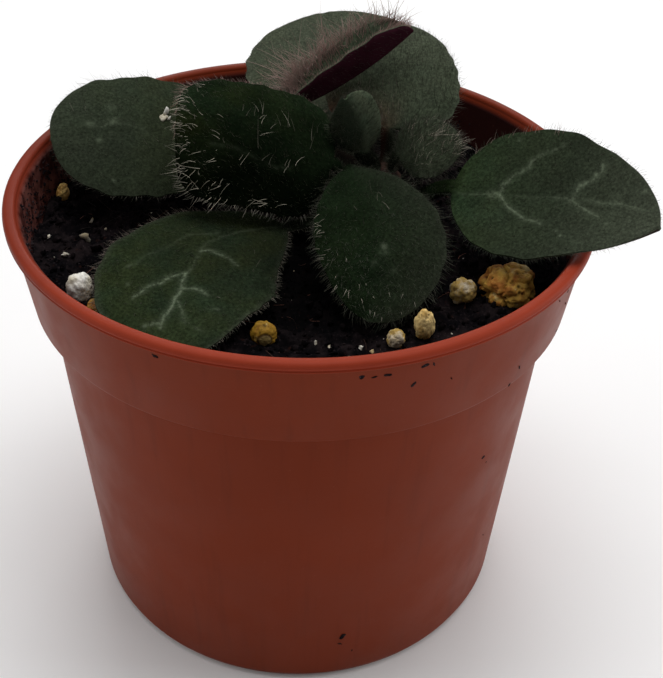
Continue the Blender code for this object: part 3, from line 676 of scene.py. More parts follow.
def perlite_finish(name):
    """Chalky white to cream, faintly stained, with shaded pits."""
    made = Finish(name, Roughness=0.9, Specular_IOR_Level=0.1)
    warm = made.attribute("warm")
    colour = made.mix(made.patches(700, 3, 0.55, 0.4, 0.65), PERLITE_WHITE, PERLITE_CREAM)
    stain = made.product(made.patches(560, 4, 0.6, 0.38, 0.62, 0.35), warm)
    colour = made.mix(stain, colour, PERLITE_STAIN)
    colour = made.mix(made.attribute("dim"), colour, PERLITE_DIM)
    brown = made.product(made.patches(1900, 4, 0.7, 0.58, 0.72, 0.0, 0.6), warm)
    colour = made.mix(brown, colour, PERLITE_BROWN)
    colour = made.mix(made.attribute("pit"), colour, PERLITE_PIT)
    return made.coloured(colour, made.noise(5200, 4, 0.6), 0.00005)


def pumice_finish(name):
    """Amber pumice: straw yellow to rust, with pits darkened by stain and painted shade."""
    made = Finish(name, Roughness=0.6, Specular_IOR_Level=0.12)
    stain = made.patches(430, 4, 0.6, 0.42, 0.60)
    deep = made.mix(stain, PUMICE_GOLD, PUMICE_ORANGE)
    straw = made.mix(stain, PUMICE_STRAW, PUMICE_TAN)
    colour = made.mix(made.attribute("warm"), straw, deep)
    colour = made.mix(made.attribute("dim"), colour, PUMICE_DIM)
    # Pale blotches: partly the pumice's own pale colour and partly painted highlights.
    colour = made.mix(made.patches(760, 4, 0.6, 0.56, 0.70, distortion=0.4), colour, PUMICE_PALE_AND_HIGHLIGHT)
    colour = made.mix(made.patches(1500, 4, 0.7, 0.58, 0.74, 0.0, 0.8), colour, PUMICE_RUST)
    colour = made.mix(made.attribute("disc"), colour, PRILL_DISC)
    colour = made.mix(made.attribute("pit"), colour, PUMICE_PIT)
    return made.coloured(colour, made.noise(4600, 4, 0.65), 0.00006)


def blade_finish(name, settings):
    """The velvety upper face: dark green, greyed by its bloom, with pale broken veins."""
    made = Finish(name, Roughness=0.72, Specular_IOR_Level=0.0)
    blade = made.mix(made.patches(330, 4, 0.6, 0.3, 0.7), scaled(settings.blade, 0.72),
                     scaled(settings.blade, 1.22))
    olive = made.product(made.patches(170, 3, 0.55, 0.35, 0.65), made.attribute("olive"))
    blade = made.mix(olive, blade, LEAF_OLIVE)
    blade = made.mix(made.attribute("bloom"), blade, settings.bloom)
    blade = made.mix(made.attribute("foot"), blade, LEAF_FOOT)
    streaks = made.patches(1.0, 3, 0.6, 0.35, 0.65, 0.80, 1.20, place=made.stretched(3400, 3400, 900))
    nap = made.product(made.patches(3600, 3, 0.7, 0.35, 0.70, 0.74, 1.26), streaks)
    # The shade attribute scales the blade: partly the leaf's own tone and partly painted light and shade.
    blade = made.dimmed(blade, made.product(nap, made.attribute("shade")))
    vein = made.product(made.attribute("vein"), made.patches(2300, 4, 0.7, 0.34, 0.62, 0.25, 1.15))
    colour = made.mix(vein, blade, settings.vein)
    return made.coloured(colour, made.noise(5200, 4, 0.7), 0.00005, 0.8)


def underside_finish(name, settings):
    """The lower face: maroon, greener between the veins of the older leaves."""
    made = Finish(name, Roughness=0.7, Specular_IOR_Level=0.0)
    patches = made.patches(300, 4, 0.6, 0.35, 0.65)
    # The same shade scales the green below: partly the leaf's own tone and partly painted light and shade.
    green = made.dimmed(made.mix(patches, LEAF_BELOW_DARK, LEAF_BELOW_PALE), made.attribute("shade"))
    maroon = made.mix(patches, scaled(settings.underside, 0.75), scaled(settings.underside, 1.2))
    colour = made.mix(made.attribute("flush"), green, maroon)
    colour = made.mix(made.product(made.attribute("vein"), 0.5), colour, VEIN_BELOW)
    return made.coloured(colour, made.noise(4200, 4, 0.7), 0.00005)


def hair_finish(name, settings):
    """Fine pale hairs, pinker where the leaf is flushed, and darker where their tone says so."""
    made = Finish(name, Roughness=0.5, Specular_IOR_Level=0.1)
    colour = made.mix(made.attribute("blush"), settings.hair, settings.blush)
    return made.coloured(made.mix(made.span(made.attribute("tone"), -0.86, 1.0), colour, HAIR_DARK))


def stem_finish(name):
    """The crown: brown, scaly and hairy."""
    made = Finish(name, Roughness=0.85, Specular_IOR_Level=0.15)
    colour = made.mix(made.patches(900, 4, 0.6, 0.35, 0.65), BARK_DARK, BARK_PALE)
    return made.coloured(colour, made.noise(3000, 4), 0.00008)


def finish(name, build, *settings):
    """Return a material by name, made on its first use."""
    return bpy.data.materials.get(name) or build(name, *settings)


def add_piece(name, mesh, finishes, slot, *nodes, smooth_angle=60.0):
    """Wrap a mesh as a piece that rides with the pot and stands for these solids."""
    mesh.name = name
    for used in finishes:
        mesh.materials.append(used)
    mesh.shade_smooth()
    mesh.set_sharp_from_angle(angle=math.radians(smooth_angle))
    piece = bpy.data.objects.new(name, mesh)
    bpy.context.scene.collection.objects.link(piece)
    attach(piece, BODY)
    if nodes:
        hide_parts(*nodes)
    return piece


def to_mesh(shape, name="shape"):
    """Turn a bmesh into a mesh and free it."""
    mesh = bpy.data.meshes.new(name)
    shape.to_mesh(mesh)
    shape.free()
    return mesh


def coordinates(mesh):
    """A mesh's vertex coordinates as an array."""
    found = np.empty(len(mesh.vertices) * 3)
    mesh.vertices.foreach_get("co", found)
    return found.reshape(-1, 3)


def place_vertices(mesh, points):
    """Move a mesh's vertices to these points."""
    mesh.vertices.foreach_set("co", np.ascontiguousarray(points, dtype=np.float32).ravel())
    mesh.update()


def carry(mesh, **values):
    """Store numbers at the vertices, for the finish to read.

    A value is one number for all, a number for each copy of a small shape, or one for each vertex.
    """
    total = len(mesh.vertices)
    for name, value in values.items():
        stored = mesh.attributes.new(name, "FLOAT", "POINT")
        spread = np.repeat(value, total // np.size(value))
        stored.data.foreach_set("value", np.ascontiguousarray(spread, dtype=np.float32))


def copies(pattern, count):
    """A mesh that holds this many copies of a small shape, one after another."""
    mesh = to_mesh(pattern)
    row = bpy.data.objects.new("row", mesh)
    bpy.context.scene.collection.objects.link(row)
    array = row.modifiers.new("row", "ARRAY")
    array.count = count
    array.use_relative_offset = False
    depsgraph = bpy.context.evaluated_depsgraph_get()
    made = bpy.data.meshes.new_from_object(row.evaluated_get(depsgraph))
    bpy.data.objects.remove(row)
    bpy.data.meshes.remove(mesh)
    return made


def turn_profile(profile, steps):
    """Spin a profile of (radius, height) points, which starts and ends on the axis, full round."""
    turned = bmesh.new()
    points = [turned.verts.new((radius, 0.0, height)) for radius, height in profile]
    edges = [turned.edges.new(pair) for pair in zip(points, points[1:])]
    bmesh.ops.spin(turned, geom=points + edges, cent=(0, 0, 0), axis=(0, 0, 1),
                   angle=2 * math.pi, steps=steps, use_merge=True)
    bmesh.ops.remove_doubles(turned, verts=turned.verts, dist=1e-6)
    bmesh.ops.recalc_face_normals(turned, faces=turned.faces)
    return turned


def unit(vectors):
    """Scale vectors, in an array's last axis, to length 1."""
    return vectors / np.maximum(np.linalg.norm(vectors, axis=-1, keepdims=True), 1e-12)


def bell(distance, width):
    """How strongly a thing is felt at a distance: 1 on it, fading smoothly over a width."""
    return np.exp(-(distance / width) ** 2)


def skewed(least, more, power, count, rng):
    """Random values from the least up to this much more, most of them near the least."""
    return least + more * rng.uniform(0, 1, count) ** power


def wall_radius(height):
    """The pot's inner radius at a height, in its body or in its collar."""
    if height < COLLAR_BOTTOM + WALL:
        rise = height / COLLAR_BOTTOM
        return BODY_BOTTOM_RADIUS + (BODY_TOP_RADIUS - BODY_BOTTOM_RADIUS) * rise - WALL
    rise = (height - COLLAR_BOTTOM) / (POT_HEIGHT - COLLAR_BOTTOM)
    return COLLAR_BOTTOM_RADIUS + (COLLAR_TOP_RADIUS - COLLAR_BOTTOM_RADIUS) * rise - WALL


def pot_profile(lip_width):
    """The pot's section, from the middle of the underside, out, up and back down inside."""
    lip_inner = LIP_RADIUS - lip_width
    lip_bottom = POT_HEIGHT - LIP_DEPTH
    groove = POT_HEIGHT - LIP_GROOVE_DEPTH
    channel_slope = FOOT_ROUNDING / 2
    foot_cut = FOOT_ROUNDING * (1 - math.sqrt(0.5))
    shoulder_inside = COLLAR_BOTTOM + WALL
    body_inside_bottom = CHANNEL_HEIGHT + FLOOR
    outside = [
        (0.0, 0.0),
        (PAD_RADIUS, 0.0),
        (PAD_RADIUS + channel_slope, CHANNEL_HEIGHT),
        (FOOT_INNER_RADIUS - channel_slope, CHANNEL_HEIGHT),
        (FOOT_INNER_RADIUS, 0.0),
        (BODY_BOTTOM_RADIUS - FOOT_ROUNDING, 0.0),
        (BODY_BOTTOM_RADIUS - foot_cut, foot_cut),
        (BODY_BOTTOM_RADIUS, FOOT_ROUNDING),
        (BODY_TOP_RADIUS, COLLAR_BOTTOM - SHOULDER_FILLET),
        (BODY_TOP_RADIUS + SHOULDER_FILLET, COLLAR_BOTTOM),
        (COLLAR_BOTTOM_RADIUS - SHOULDER_FILLET / 2, COLLAR_BOTTOM),
        (COLLAR_BOTTOM_RADIUS, COLLAR_BOTTOM + SHOULDER_FILLET),
        (COLLAR_TOP_RADIUS, lip_bottom),
        (LIP_RADIUS - LIP_GROOVE / 2, lip_bottom),
        (LIP_RADIUS, lip_bottom + LIP_GROOVE),
        (LIP_RADIUS, groove - LIP_GROOVE),
        (LIP_RADIUS - LIP_GROOVE, groove),
        (LIP_RADIUS, groove + LIP_GROOVE),
    ]
    rounding = [(math.sin(math.radians(turn)), math.cos(math.radians(turn)))
                for turn in (90, 67, 45, 22, 0)]
    outside += [(LIP_RADIUS - LIP_ROUNDING * (1 - out), POT_HEIGHT - LIP_ROUNDING * (1 - up))
                for out, up in rounding]
    inside = [(lip_inner + LIP_ROUNDING * (1 - out), POT_HEIGHT - LIP_ROUNDING * (1 - up))
              for out, up in reversed(rounding)]
    inside += [
        (wall_radius(lip_bottom), lip_bottom),
        (wall_radius(shoulder_inside), shoulder_inside),
        (BODY_TOP_RADIUS - WALL, shoulder_inside - SHOULDER_FILLET),
        (wall_radius(body_inside_bottom + FLOOR), body_inside_bottom + FLOOR),
        (wall_radius(body_inside_bottom) - FLOOR, body_inside_bottom),
        (0.0, body_inside_bottom),
    ]
    return outside + inside


def soften(shape, width, angle=24.0):
    """Round the edges of a turned shape that are sharper than an angle."""
    sharp = [edge for edge in shape.edges
             if edge.is_manifold and edge.calc_face_angle() > math.radians(angle)]
    bmesh.ops.bevel(shape, geom=sharp, offset=width, offset_type="OFFSET", segments=3, profile=0.5,
                    affect="EDGES", material=-1, clamp_overlap=True)


def lumpy(direction, amount, rate, centre):
    """How far a lump swells along a direction."""
    return 1.0 + amount * noise.noise(direction * rate + Vector(centre) * 1000)


def outside_radius(height):
    """The pot's outer radius at a height."""
    if height < COLLAR_BOTTOM:
        return BODY_BOTTOM_RADIUS + (BODY_TOP_RADIUS - BODY_BOTTOM_RADIUS) * height / COLLAR_BOTTOM
    rise = (height - COLLAR_BOTTOM) / (POT_HEIGHT - LIP_DEPTH - COLLAR_BOTTOM)
    return COLLAR_BOTTOM_RADIUS + (COLLAR_TOP_RADIUS - COLLAR_BOTTOM_RADIUS) * min(rise, 1.0)


def lump_pattern(fineness):
    """A round lump with a radius of 1."""
    lump = bmesh.new()
    bmesh.ops.create_icosphere(lump, subdivisions=fineness, radius=1.0)
    return lump


def scatter_lumps(places, frames, sizes, roughness, fineness, rng):
    """Copies of a lump, each with its own bumps, turned into its frame and put in its place.

    frames holds three unit vectors for each lump, and sizes its half size along each of them.
    """
    count = len(places)
    mesh = copies(lump_pattern(fineness), count)
    local = coordinates(mesh).reshape(count, -1, 3)
    waves = rng.normal(0.0, 2.2, (count, 5, 3))
    phases = rng.uniform(0.0, 2 * math.pi, (count, 1, 5))
    swell = np.sin(np.einsum("nkc,njc->nkj", local, waves) + phases).mean(axis=2, keepdims=True)
    local = local * (1.0 + roughness * swell) * sizes[:, None, :]
    place_vertices(mesh, (np.einsum("nkc,ncd->nkd", local, frames) + places[:, None, :]).reshape(-1, 3))
    return mesh


def random_frames(count, rng):
    """Three unit vectors at right angles, turned at random."""
    first = unit(rng.normal(size=(count, 3)))
    second = unit(np.cross(first, rng.normal(size=(count, 3))))
    return np.stack([first, second, np.cross(first, second)], axis=1)


def scatter_crumbs(flat, height, size, most, roughness, fineness, rng):
    """Lumps at these places and heights, each stretched by 0.6 to most and turned at random."""
    count = len(flat)
    sizes = size[:, None] * rng.uniform(0.6, most, (count, 3))
    return scatter_lumps(np.column_stack([flat, height]), random_frames(count, rng), sizes, roughness,
                         fineness, rng)


class ROSETTE_OT_pot(bpy.types.Operator):
    """Model the nursery pot and the specks of mix on it"""

    bl_idname = "rosette.pot"
    bl_label = "Nursery Pot"

    def execute(self, context):
        settings = context.scene.rosette_pot
        shape = turn_profile(pot_profile(settings.lip_width), settings.segments)
        soften(shape, EDGE_ROUNDING)
        mesh = self.drilled(to_mesh(shape), self.drill())
        points = coordinates(mesh)
        radius = np.hypot(points[:, 0], points[:, 1])
        height = points[:, 2]
        wall = np.array([wall_radius(value) for value in height])
        inside = (radius < wall + WALL * 0.3) & (height > CHANNEL_HEIGHT + FLOOR * 0.9)
        carry(mesh, inside=inside & (height < POT_HEIGHT - LIP_DEPTH * 0.7))
        plastic = finish("moulded_plastic", pot_finish, settings)
        add_piece("nursery_pot", mesh, [plastic], "terracotta_plastic", "pot", smooth_angle=32)
        self.add_flecks()
        return {"FINISHED"}

    def drill(self):
        """The pins that cut the drain holes, in a ring."""
        pins = bmesh.new()
        for index in range(DRAIN_HOLES):
            angle = 2 * math.pi * (index + 0.5) / DRAIN_HOLES
            place = Vector((math.cos(angle), math.sin(angle), 0.0)) * DRAIN_CIRCLE
            bmesh.ops.create_cone(pins, cap_ends=True, segments=32, radius1=DRAIN_RADIUS,
                                  radius2=DRAIN_RADIUS, depth=4 * (CHANNEL_HEIGHT + FLOOR),
                                  matrix=Matrix.Translation(place))
        return to_mesh(pins)

    def drilled(self, mesh, drill_mesh):
        """The pot's mesh with its drain holes cut."""
        pot = bpy.data.objects.new("undrilled", mesh)
        drill = bpy.data.objects.new("drill", drill_mesh)
        for made in (pot, drill):
            bpy.context.scene.collection.objects.link(made)
        boolean = pot.modifiers.new("drain holes", "BOOLEAN")
        boolean.operation = "DIFFERENCE"
        boolean.solver = "EXACT"
        boolean.object = drill
        depsgraph = bpy.context.evaluated_depsgraph_get()
        cut = bpy.data.meshes.new_from_object(pot.evaluated_get(depsgraph))
        for made in (pot, drill):
            bpy.data.objects.remove(made)
        return cut

    def add_flecks(self):
        """Flattened specks of mix on the outside of the wall."""
        rng = np.random.default_rng(11)
        places = []
        frames = []
        sizes = []
        for heading, height, size in FLECKS:
            angle = math.radians(heading)
            out = Vector((math.cos(angle), math.sin(angle), 0.0))
            places.append(out * outside_radius(height) + Vector((0, 0, height)))
            turn = Matrix.Rotation(rng.uniform(0, math.pi), 3, out)
            side = turn @ out.cross(Vector((0, 0, 1)))
            frames.append([side, side.cross(out), out])
            sizes.append((size * 0.42, size * rng.uniform(0.14, 0.28), FLECK_THICKNESS))
        mesh = scatter_lumps(np.array(places), np.array(frames), np.array(sizes), 0.9, 3, rng)
        soil = finish("dried_peat", soil_finish, bpy.context.scene.rosette_soil, DRIED)
        add_piece("soil_flecks", mesh, [soil], "potting_mix")


def mix_height(x, y):
    """The height of the mix's top: clods and a mound as in the solids, and finer crumbs."""
    place = Vector((x, y, 0.0))
    clods = noise.fractal(place / SOIL_CLOD_SIZE, 0.7, 2.2, 3)
    crumbs = noise.fractal(place / SOIL_CRUMB_SIZE + Vector((3, 7, 1)), 0.6, 2.1, 4)
    from_crown = (place - CROWN).length / SOIL_MOUND_REACH
    return (SOIL_LEVEL + clods * SOIL_CLODS + crumbs * SOIL_CRUMBS
            + SOIL_MOUND * math.exp(-from_crown ** 2))


class ROSETTE_OT_soil(bpy.types.Operator):
    """Model the potting mix, with its crumbs, threads and specks"""

    bl_idname = "rosette.soil"
    bl_label = "Potting Mix"

    def execute(self, context):
        settings = context.scene.rosette_soil
        peat = finish("peat", soil_finish, settings)
        add_piece("mix", self.plug(settings.rings), [peat], "potting_mix", "potting_mix",
                  smooth_angle=50)
        rng = np.random.default_rng(5)
        add_piece("mix_crumbs", self.crumbs(settings.crumbs, rng), [peat], "potting_mix",
                  smooth_angle=50)
        dried = finish("dried_peat", soil_finish, settings, DRIED)
        add_piece("mix_wall_crumbs", self.wall_crumbs(WALL_CRUMBS, rng), [dried], "potting_mix")
        self.add_fibres(settings.fibres, rng)
        self.add_specks(settings.specks, rng)
        return {"FINISHED"}

    def plug(self, rings):
        """The body of the mix, from the pot's floor to its uneven top."""
        bottom = CHANNEL_HEIGHT + FLOOR + GAP
        corner = bottom + FLOOR
        shoulder = COLLAR_BOTTOM + WALL
        edge = wall_radius(SOIL_LEVEL) - GAP / 3
        profile = [
            (0.0, bottom),
            (wall_radius(bottom) - FLOOR - GAP, bottom),
            (wall_radius(corner) - GAP, corner),
            (BODY_TOP_RADIUS - WALL - GAP, shoulder - SHOULDER_FILLET + GAP),
            (wall_radius(shoulder) - GAP, shoulder + 1.5 * GAP),
        ]
        profile += [(edge * (1 - ring / rings), SOIL_LEVEL) for ring in range(rings + 1)]
        shape = turn_profile(profile, 200)
        for vertex in shape.verts:
            if vertex.co.z > shoulder + 2 * GAP:
                vertex.co.z = mix_height(vertex.co.x, vertex.co.y)
        return to_mesh(shape)

    def places_on_top(self, count, rng, reach=SOIL_REACH):
        """Random places on the mix, as an array of x and y."""
        radius = wall_radius(SOIL_LEVEL) * reach * np.sqrt(rng.uniform(0, 1, count))
        angle = rng.uniform(0, 2 * math.pi, count)
        return np.stack([radius * np.cos(angle), radius * np.sin(angle)], axis=1)

    def heights(self, flat):
        """The height of the mix at each of these places."""
        return np.array([mix_height(x, y) for x, y in flat])

    def crumbs(self, count, rng):
        """Loose crumbs that lie half sunk in the mix."""
        flat = self.places_on_top(count, rng)
        size = skewed(*CRUMB_RADIUS, 3.0, count, rng)
        return scatter_crumbs(flat, self.heights(flat) + size * 0.3, size, 1.3, 0.6, 1, rng)

    def wall_crumbs(self, count, rng):
        """Crumbs and splashes that stick to the inside of the wall, most of them at the left."""
        leftward = rng.normal(math.pi, 0.55, count)
        anywhere = rng.uniform(0, 2 * math.pi, count)
        angle = np.where(rng.uniform(0, 1, count) < 0.72, leftward, anywhere)
        height = skewed(*WALL_CRUMB_HEIGHT, 1.7, count, rng)
        radius = np.array([wall_radius(value) for value in height])
        size = skewed(*WALL_CRUMB_RADIUS, 1.0, count, rng)
        flat = np.stack([np.cos(angle), np.sin(angle)], axis=1) * radius[:, None]
        return scatter_crumbs(flat, height, size, 1.3, 0.6, 1, rng)

    def add_fibres(self, count, rng):
        """Threads that lie along the mix."""
        flat = self.places_on_top(count, rng, 0.90)
        heading = rng.uniform(0, 2 * math.pi, count)
        length = skewed(*FIBRE_LENGTH, 1.0, count, rng)
        aims = np.stack([np.cos(heading), np.sin(heading), rng.uniform(-0.02, 0.10, count)], axis=1)
        ends = flat + aims[:, :2] * length[:, None]
        on_mix = np.hypot(ends[:, 0], ends[:, 1]) < wall_radius(SOIL_LEVEL) * SOIL_REACH
        flat, aims, length = flat[on_mix], aims[on_mix], length[on_mix]
        count = len(flat)
        roots = np.column_stack([flat, self.heights(flat) + 0.00008])
        bends = rng.normal(0.0, 0.45, (count, 3)) * np.array([1, 1, 0.25])
        mesh = hair_mesh(roots, unit(aims), bends, length, skewed(*FIBRE_RADIUS, 1.0, count, rng), 5,
                         blunt=0.7)
        carry(mesh, tone=rng.uniform(0, 1, count) ** 1.6)
        add_piece("mix_fibres", mesh, [finish("fibre", fibre_finish)], "potting_mix")

    def add_specks(self, count, rng):
        """Small white specks of perlite, the ones that show and others scattered."""
        flat = self.places_on_top(count, rng)
        size = skewed(*SPECK_RADIUS, 2, count, rng)
        flat = np.concatenate([flat, np.array([speck[:2] for speck in SPECKS])])
        size = np.concatenate([size, np.array([speck[2] for speck in SPECKS]) * 0.5])
        mesh = scatter_crumbs(flat, self.heights(flat) + size * 0.5, size, 1.2, 1.0, 2, rng)
        carry(mesh, warm=rng.uniform(0, 1, len(flat)), dim=rng.uniform(0, 0.6, len(flat)), pit=0.0)
        add_piece("perlite_specks", mesh, [finish("chalky_perlite", perlite_finish)], "perlite")


class ROSETTE_OT_grains(bpy.types.Operator):
    """Model the perlite, pumice and fertiliser grains in the top of the mix"""

    bl_idname = "rosette.grains"
    bl_label = "Grains"

    def execute(self, context):
        finishes = {
            "perlite": finish("chalky_perlite", perlite_finish),
            "pumice": finish("amber_pumice", pumice_finish),
        }
        for grain in GRAINS:
            fineness = 6 if max(grain.size) > 0.004 else 5
            mesh = self.lump(grain, fineness)
            add_piece("grain_" + grain.name, mesh, [finishes[grain.finish]], grain.finish, grain.name)
        return {"FINISHED"}

    def lump(self, grain, fineness):
        """A grain: lumps as in its solid, lobes on them, and pits pressed into its skin."""
        shape = lump_pattern(fineness)
        centre = Vector(grain.centre)
        half = Vector(grain.size) / 2
        pits = []
        discs = []
        for vertex in shape.verts:
            direction = vertex.co.normalized()
            place = direction + centre * 700
            skin = noise.fractal(place * GRAIN_SKIN_RATE, 0.8, 2.1, 4)
            warp = noise.noise_vector(place * 1.8) * 0.25
            nearest, second = noise.voronoi(place * GRAIN_LOBE_RATE + warp)[0][:2]
            crease = max(0.0, 1.0 - (second - nearest) / GRAIN_CREASE_WIDTH)
            pit = max(0.0, 1.0 - noise.voronoi(place * GRAIN_PIT_RATE)[0][0] / GRAIN_PIT_WIDTH)
            swell = (lumpy(direction, grain.lumps, GRAIN_LUMP_RATE, centre)
                     + grain.lobes * (0.10 - 0.24 * crease ** 2) + 0.07 * skin - grain.pits * pit)
            # Pits and the creases between lobes are painted dark: partly stain and partly painted shade.
            dark = min(1.0, max(0.0, 1.1 * pit - 0.5 * skin) + 0.30 * crease * grain.lobes)
            disc = 0.0
            if grain.disc:
                off = direction.angle(Vector(grain.disc))
                disc = 1.0 - min(1.0, max(0.0, (off - DISC_EDGE) / DISC_FADE))
                ring = min(1.0, 1.5 * math.exp(-((off - RING) / RING_WIDTH) ** 2))
                swell += 0.04 * (disc - ring)
                dark = max(dark * (1 - disc), ring)
            pits.append(dark)
            discs.append(disc)
            vertex.co = Vector(a * b for a, b in zip(direction, half)) * swell + centre
        mesh = to_mesh(shape)
        carry(mesh, pit=np.array(pits) * grain.stained, warm=grain.warm, dim=grain.dim, disc=discs)
        return mesh


def hair_pattern(joints, blunt=0.0):
    """One three-sided tapering hair of height 1, closed at its root and its tip."""
    shape = bmesh.new()
    bmesh.ops.create_circle(shape, cap_ends=True, segments=3, radius=1.0)
    shape.faces.ensure_lookup_table()
    top = shape.faces[0]
    width = 1.0
    for joint in range(1, joints + 1):
        # The edges go along, or each old top would stay behind as a face inside the hair.
        raised = bmesh.ops.extrude_face_region(shape, geom=[top, *top.edges])
        top = next(item for item in raised["geom"] if isinstance(item, bmesh.types.BMFace))
        corners = list(top.verts)
        bmesh.ops.translate(shape, verts=corners, vec=(0, 0, 1 / joints))
        wanted = max((1 - joint / joints) ** 0.7, blunt)
        if wanted > 0:
            bmesh.ops.scale(shape, verts=corners, vec=(wanted / width, wanted / width, 1))
            width = wanted
    if blunt == 0:
        bmesh.ops.pointmerge(shape, verts=list(top.verts), merge_co=(0, 0, 1))
    bmesh.ops.recalc_face_normals(shape, faces=shape.faces)
    return shape


def hair_mesh(roots, aims, bends, lengths, radii, joints, blunt=0.0):
    """Hairs from these roots along these aims, bent by a share of their length at the tip."""
    count = len(roots)
    mesh = copies(hair_pattern(joints, blunt), count)
    local = coordinates(mesh).reshape(count, -1, 3)
    side = unit(np.cross(aims, np.where(np.abs(aims[:, 2:3]) < 0.8, [[0.0, 0, 1]], [[1.0, 0, 0]])))
    other = np.cross(aims, side)
    height = local[:, :, 2:3]
    reach = lengths[:, None, None]
    spine = roots[:, None] + aims[:, None] * height * reach + bends[:, None] * height ** 2 * reach
    ring = side[:, None] * local[:, :, 0:1] + other[:, None] * local[:, :, 1:2]
    place_vertices(mesh, (spine + ring * radii[:, None, None]).reshape(-1, 3))
    return mesh


def bezier(points, t):
    """A point on the Bezier curve with these control points, by repeated blending."""
    while len(points) > 1:
        points = [a.lerp(b, t) for a, b in zip(points, points[1:])]
    return points[0]


def slope(points, t):
    """The direction of the Bezier curve with these control points."""
    return bezier([b - a for a, b in zip(points, points[1:])], t).normalized()


def midrib_curve(leaf):
    """The three control points of the blade's midrib."""
    base = Vector(leaf.base)
    tip = Vector(leaf.tip)
    chord = tip - base
    right = chord.cross(Vector((0, 0, 1))).normalized()
    up = right.cross(chord).normalized()
    return [base, (base + tip) / 2 + 2 * (leaf.arch * up + leaf.sway * right), tip]


def petiole_curve(leaf):
    """The four control points of the petiole, square to the crown where it leaves it."""
    heading, height = leaf.leaves_crown
    angle = math.radians(heading)
    outward = Vector((math.cos(angle), math.sin(angle), 0.0))
    base = Vector(leaf.base)
    if height >= CROWN_TOP:
        start = CROWN + outward * YOUNG_SPREAD + Vector((0, 0, CROWN_TOP + GAP))
        leaving = Vector((0, 0, 1))
    else:
        start = CROWN + outward * (CROWN_RADIUS + GAP) + Vector((0, 0, height))
        leaving = outward
    reach = (base - start).length / 3
    return [start, start + leaving * reach, base - slope(midrib_curve(leaf), 0.0) * reach, base]


def outline(leaf, t):
    """The blade's half width at a fraction t of its length."""
    if t < leaf.widest:
        from_widest = (leaf.widest - t) / leaf.widest
        fullness = leaf.base_fullness
        end_width = PETIOLE_HALF_WIDTH
    else:
        from_widest = (t - leaf.widest) / (1 - leaf.widest)
        fullness = leaf.tip_fullness
        end_width = TIP_HALF_WIDTH
    width = leaf.half_width * max(0.0, 1 - from_widest ** fullness) ** (1 / fullness)
    return max(width, end_width)


def stations(leaf, petiole_stations, blade_stations):
    """The leaf's stations from crown to tip: point, direction, and fraction t of the blade.

    t is below 0 on the petiole, and rises to 0 where the blade starts.
    """
    petiole = petiole_curve(leaf)
    midrib = midrib_curve(leaf)
    found = []
    for index in range(petiole_stations):
        t = index / petiole_stations
        found.append((bezier(petiole, t), slope(petiole, t), t - 1))
    for index in range(blade_stations + 1):
        even = index / blade_stations
        t = (even + (1 - math.cos(math.pi * even)) / 2) / 2
        found.append((bezier(midrib, t), slope(midrib, t), t))
    return found


def right_hands(leaf, found):
    """The direction to the leaf's right at each station, carried along without turning."""
    start = next(index for index, (_, _, t) in enumerate(found) if t >= 0)
    along = found[start][1]
    level = along.cross(Vector((0, 0, 1))).normalized()
    right = Matrix.Rotation(math.radians(leaf.roll), 3, along) @ level
    hands = {start: right}
    for order in (range(start + 1, len(found)), range(start - 1, -1, -1)):
        carried = right
        for index in order:
            along = found[index][1]
            carried = (carried - carried.dot(along) * along).normalized()
            hands[index] = carried
    return hands


def across(leaf, width, share):
    """Where a column lies across the section: its distance to the right, and up."""
    fold = math.radians(leaf.fold)
    bend = math.radians(leaf.curl) * abs(share)
    if abs(bend) < 1e-6:
        return share * width * math.cos(fold), abs(share) * width * math.sin(fold)
    radius = abs(share) * width / bend
    side = radius * (math.sin(fold + bend) - math.sin(fold))
    rise = radius * (math.cos(fold) - math.cos(fold + bend))
    return math.copysign(side, share), rise


def leaf_point(leaf, station, right, share):
    """A point of the leaf's smooth upper face, with its waves and scallops at the margin."""
    point, along, t = station
    up = right.cross(along)
    width = outline(leaf, t) if t > 0 else PETIOLE_HALF_WIDTH
    ripple = 0.0
    if t > 0:
        side = math.copysign(1.0, share)
        swing = math.sin(2 * math.pi * leaf.waves * t + side)
        fade = abs(share) ** WAVE_FADE * width / leaf.half_width
        ripple = leaf.wave * swing * fade
        width *= 1 + SCALLOP_DEPTH * math.cos(4 * math.pi * leaf.waves * t) * fade
    side, rise = across(leaf, width, share)
    return point + right * side + up * (rise + ripple)


def doubled_areas(points):
    """Twice the area of each cell of a grid of points."""
    sides = np.cross(points[1:, 1:] - points[:-1, :-1], points[1:, :-1] - points[:-1, 1:])
    return np.linalg.norm(sides, axis=2)


def distance_to_line(x, y, corners):
    """Each place's distance to a line through these corners, and how far along it lies nearest."""
    nearest = np.full(x.shape, 1.0)
    along = np.zeros(x.shape)
    segments = len(corners) - 1
    for index, ((ax, ay), (bx, by)) in enumerate(zip(corners, corners[1:])):
        dx, dy = bx - ax, by - ay
        share = np.clip(((x - ax) * dx + (y - ay) * dy) / (dx * dx + dy * dy + 1e-12), 0, 1)
        away = np.hypot(x - ax - share * dx, y - ay - share * dy)
        along = np.where(away < nearest, (index + share) / segments, along)
        nearest = np.minimum(nearest, away)
    return nearest, along


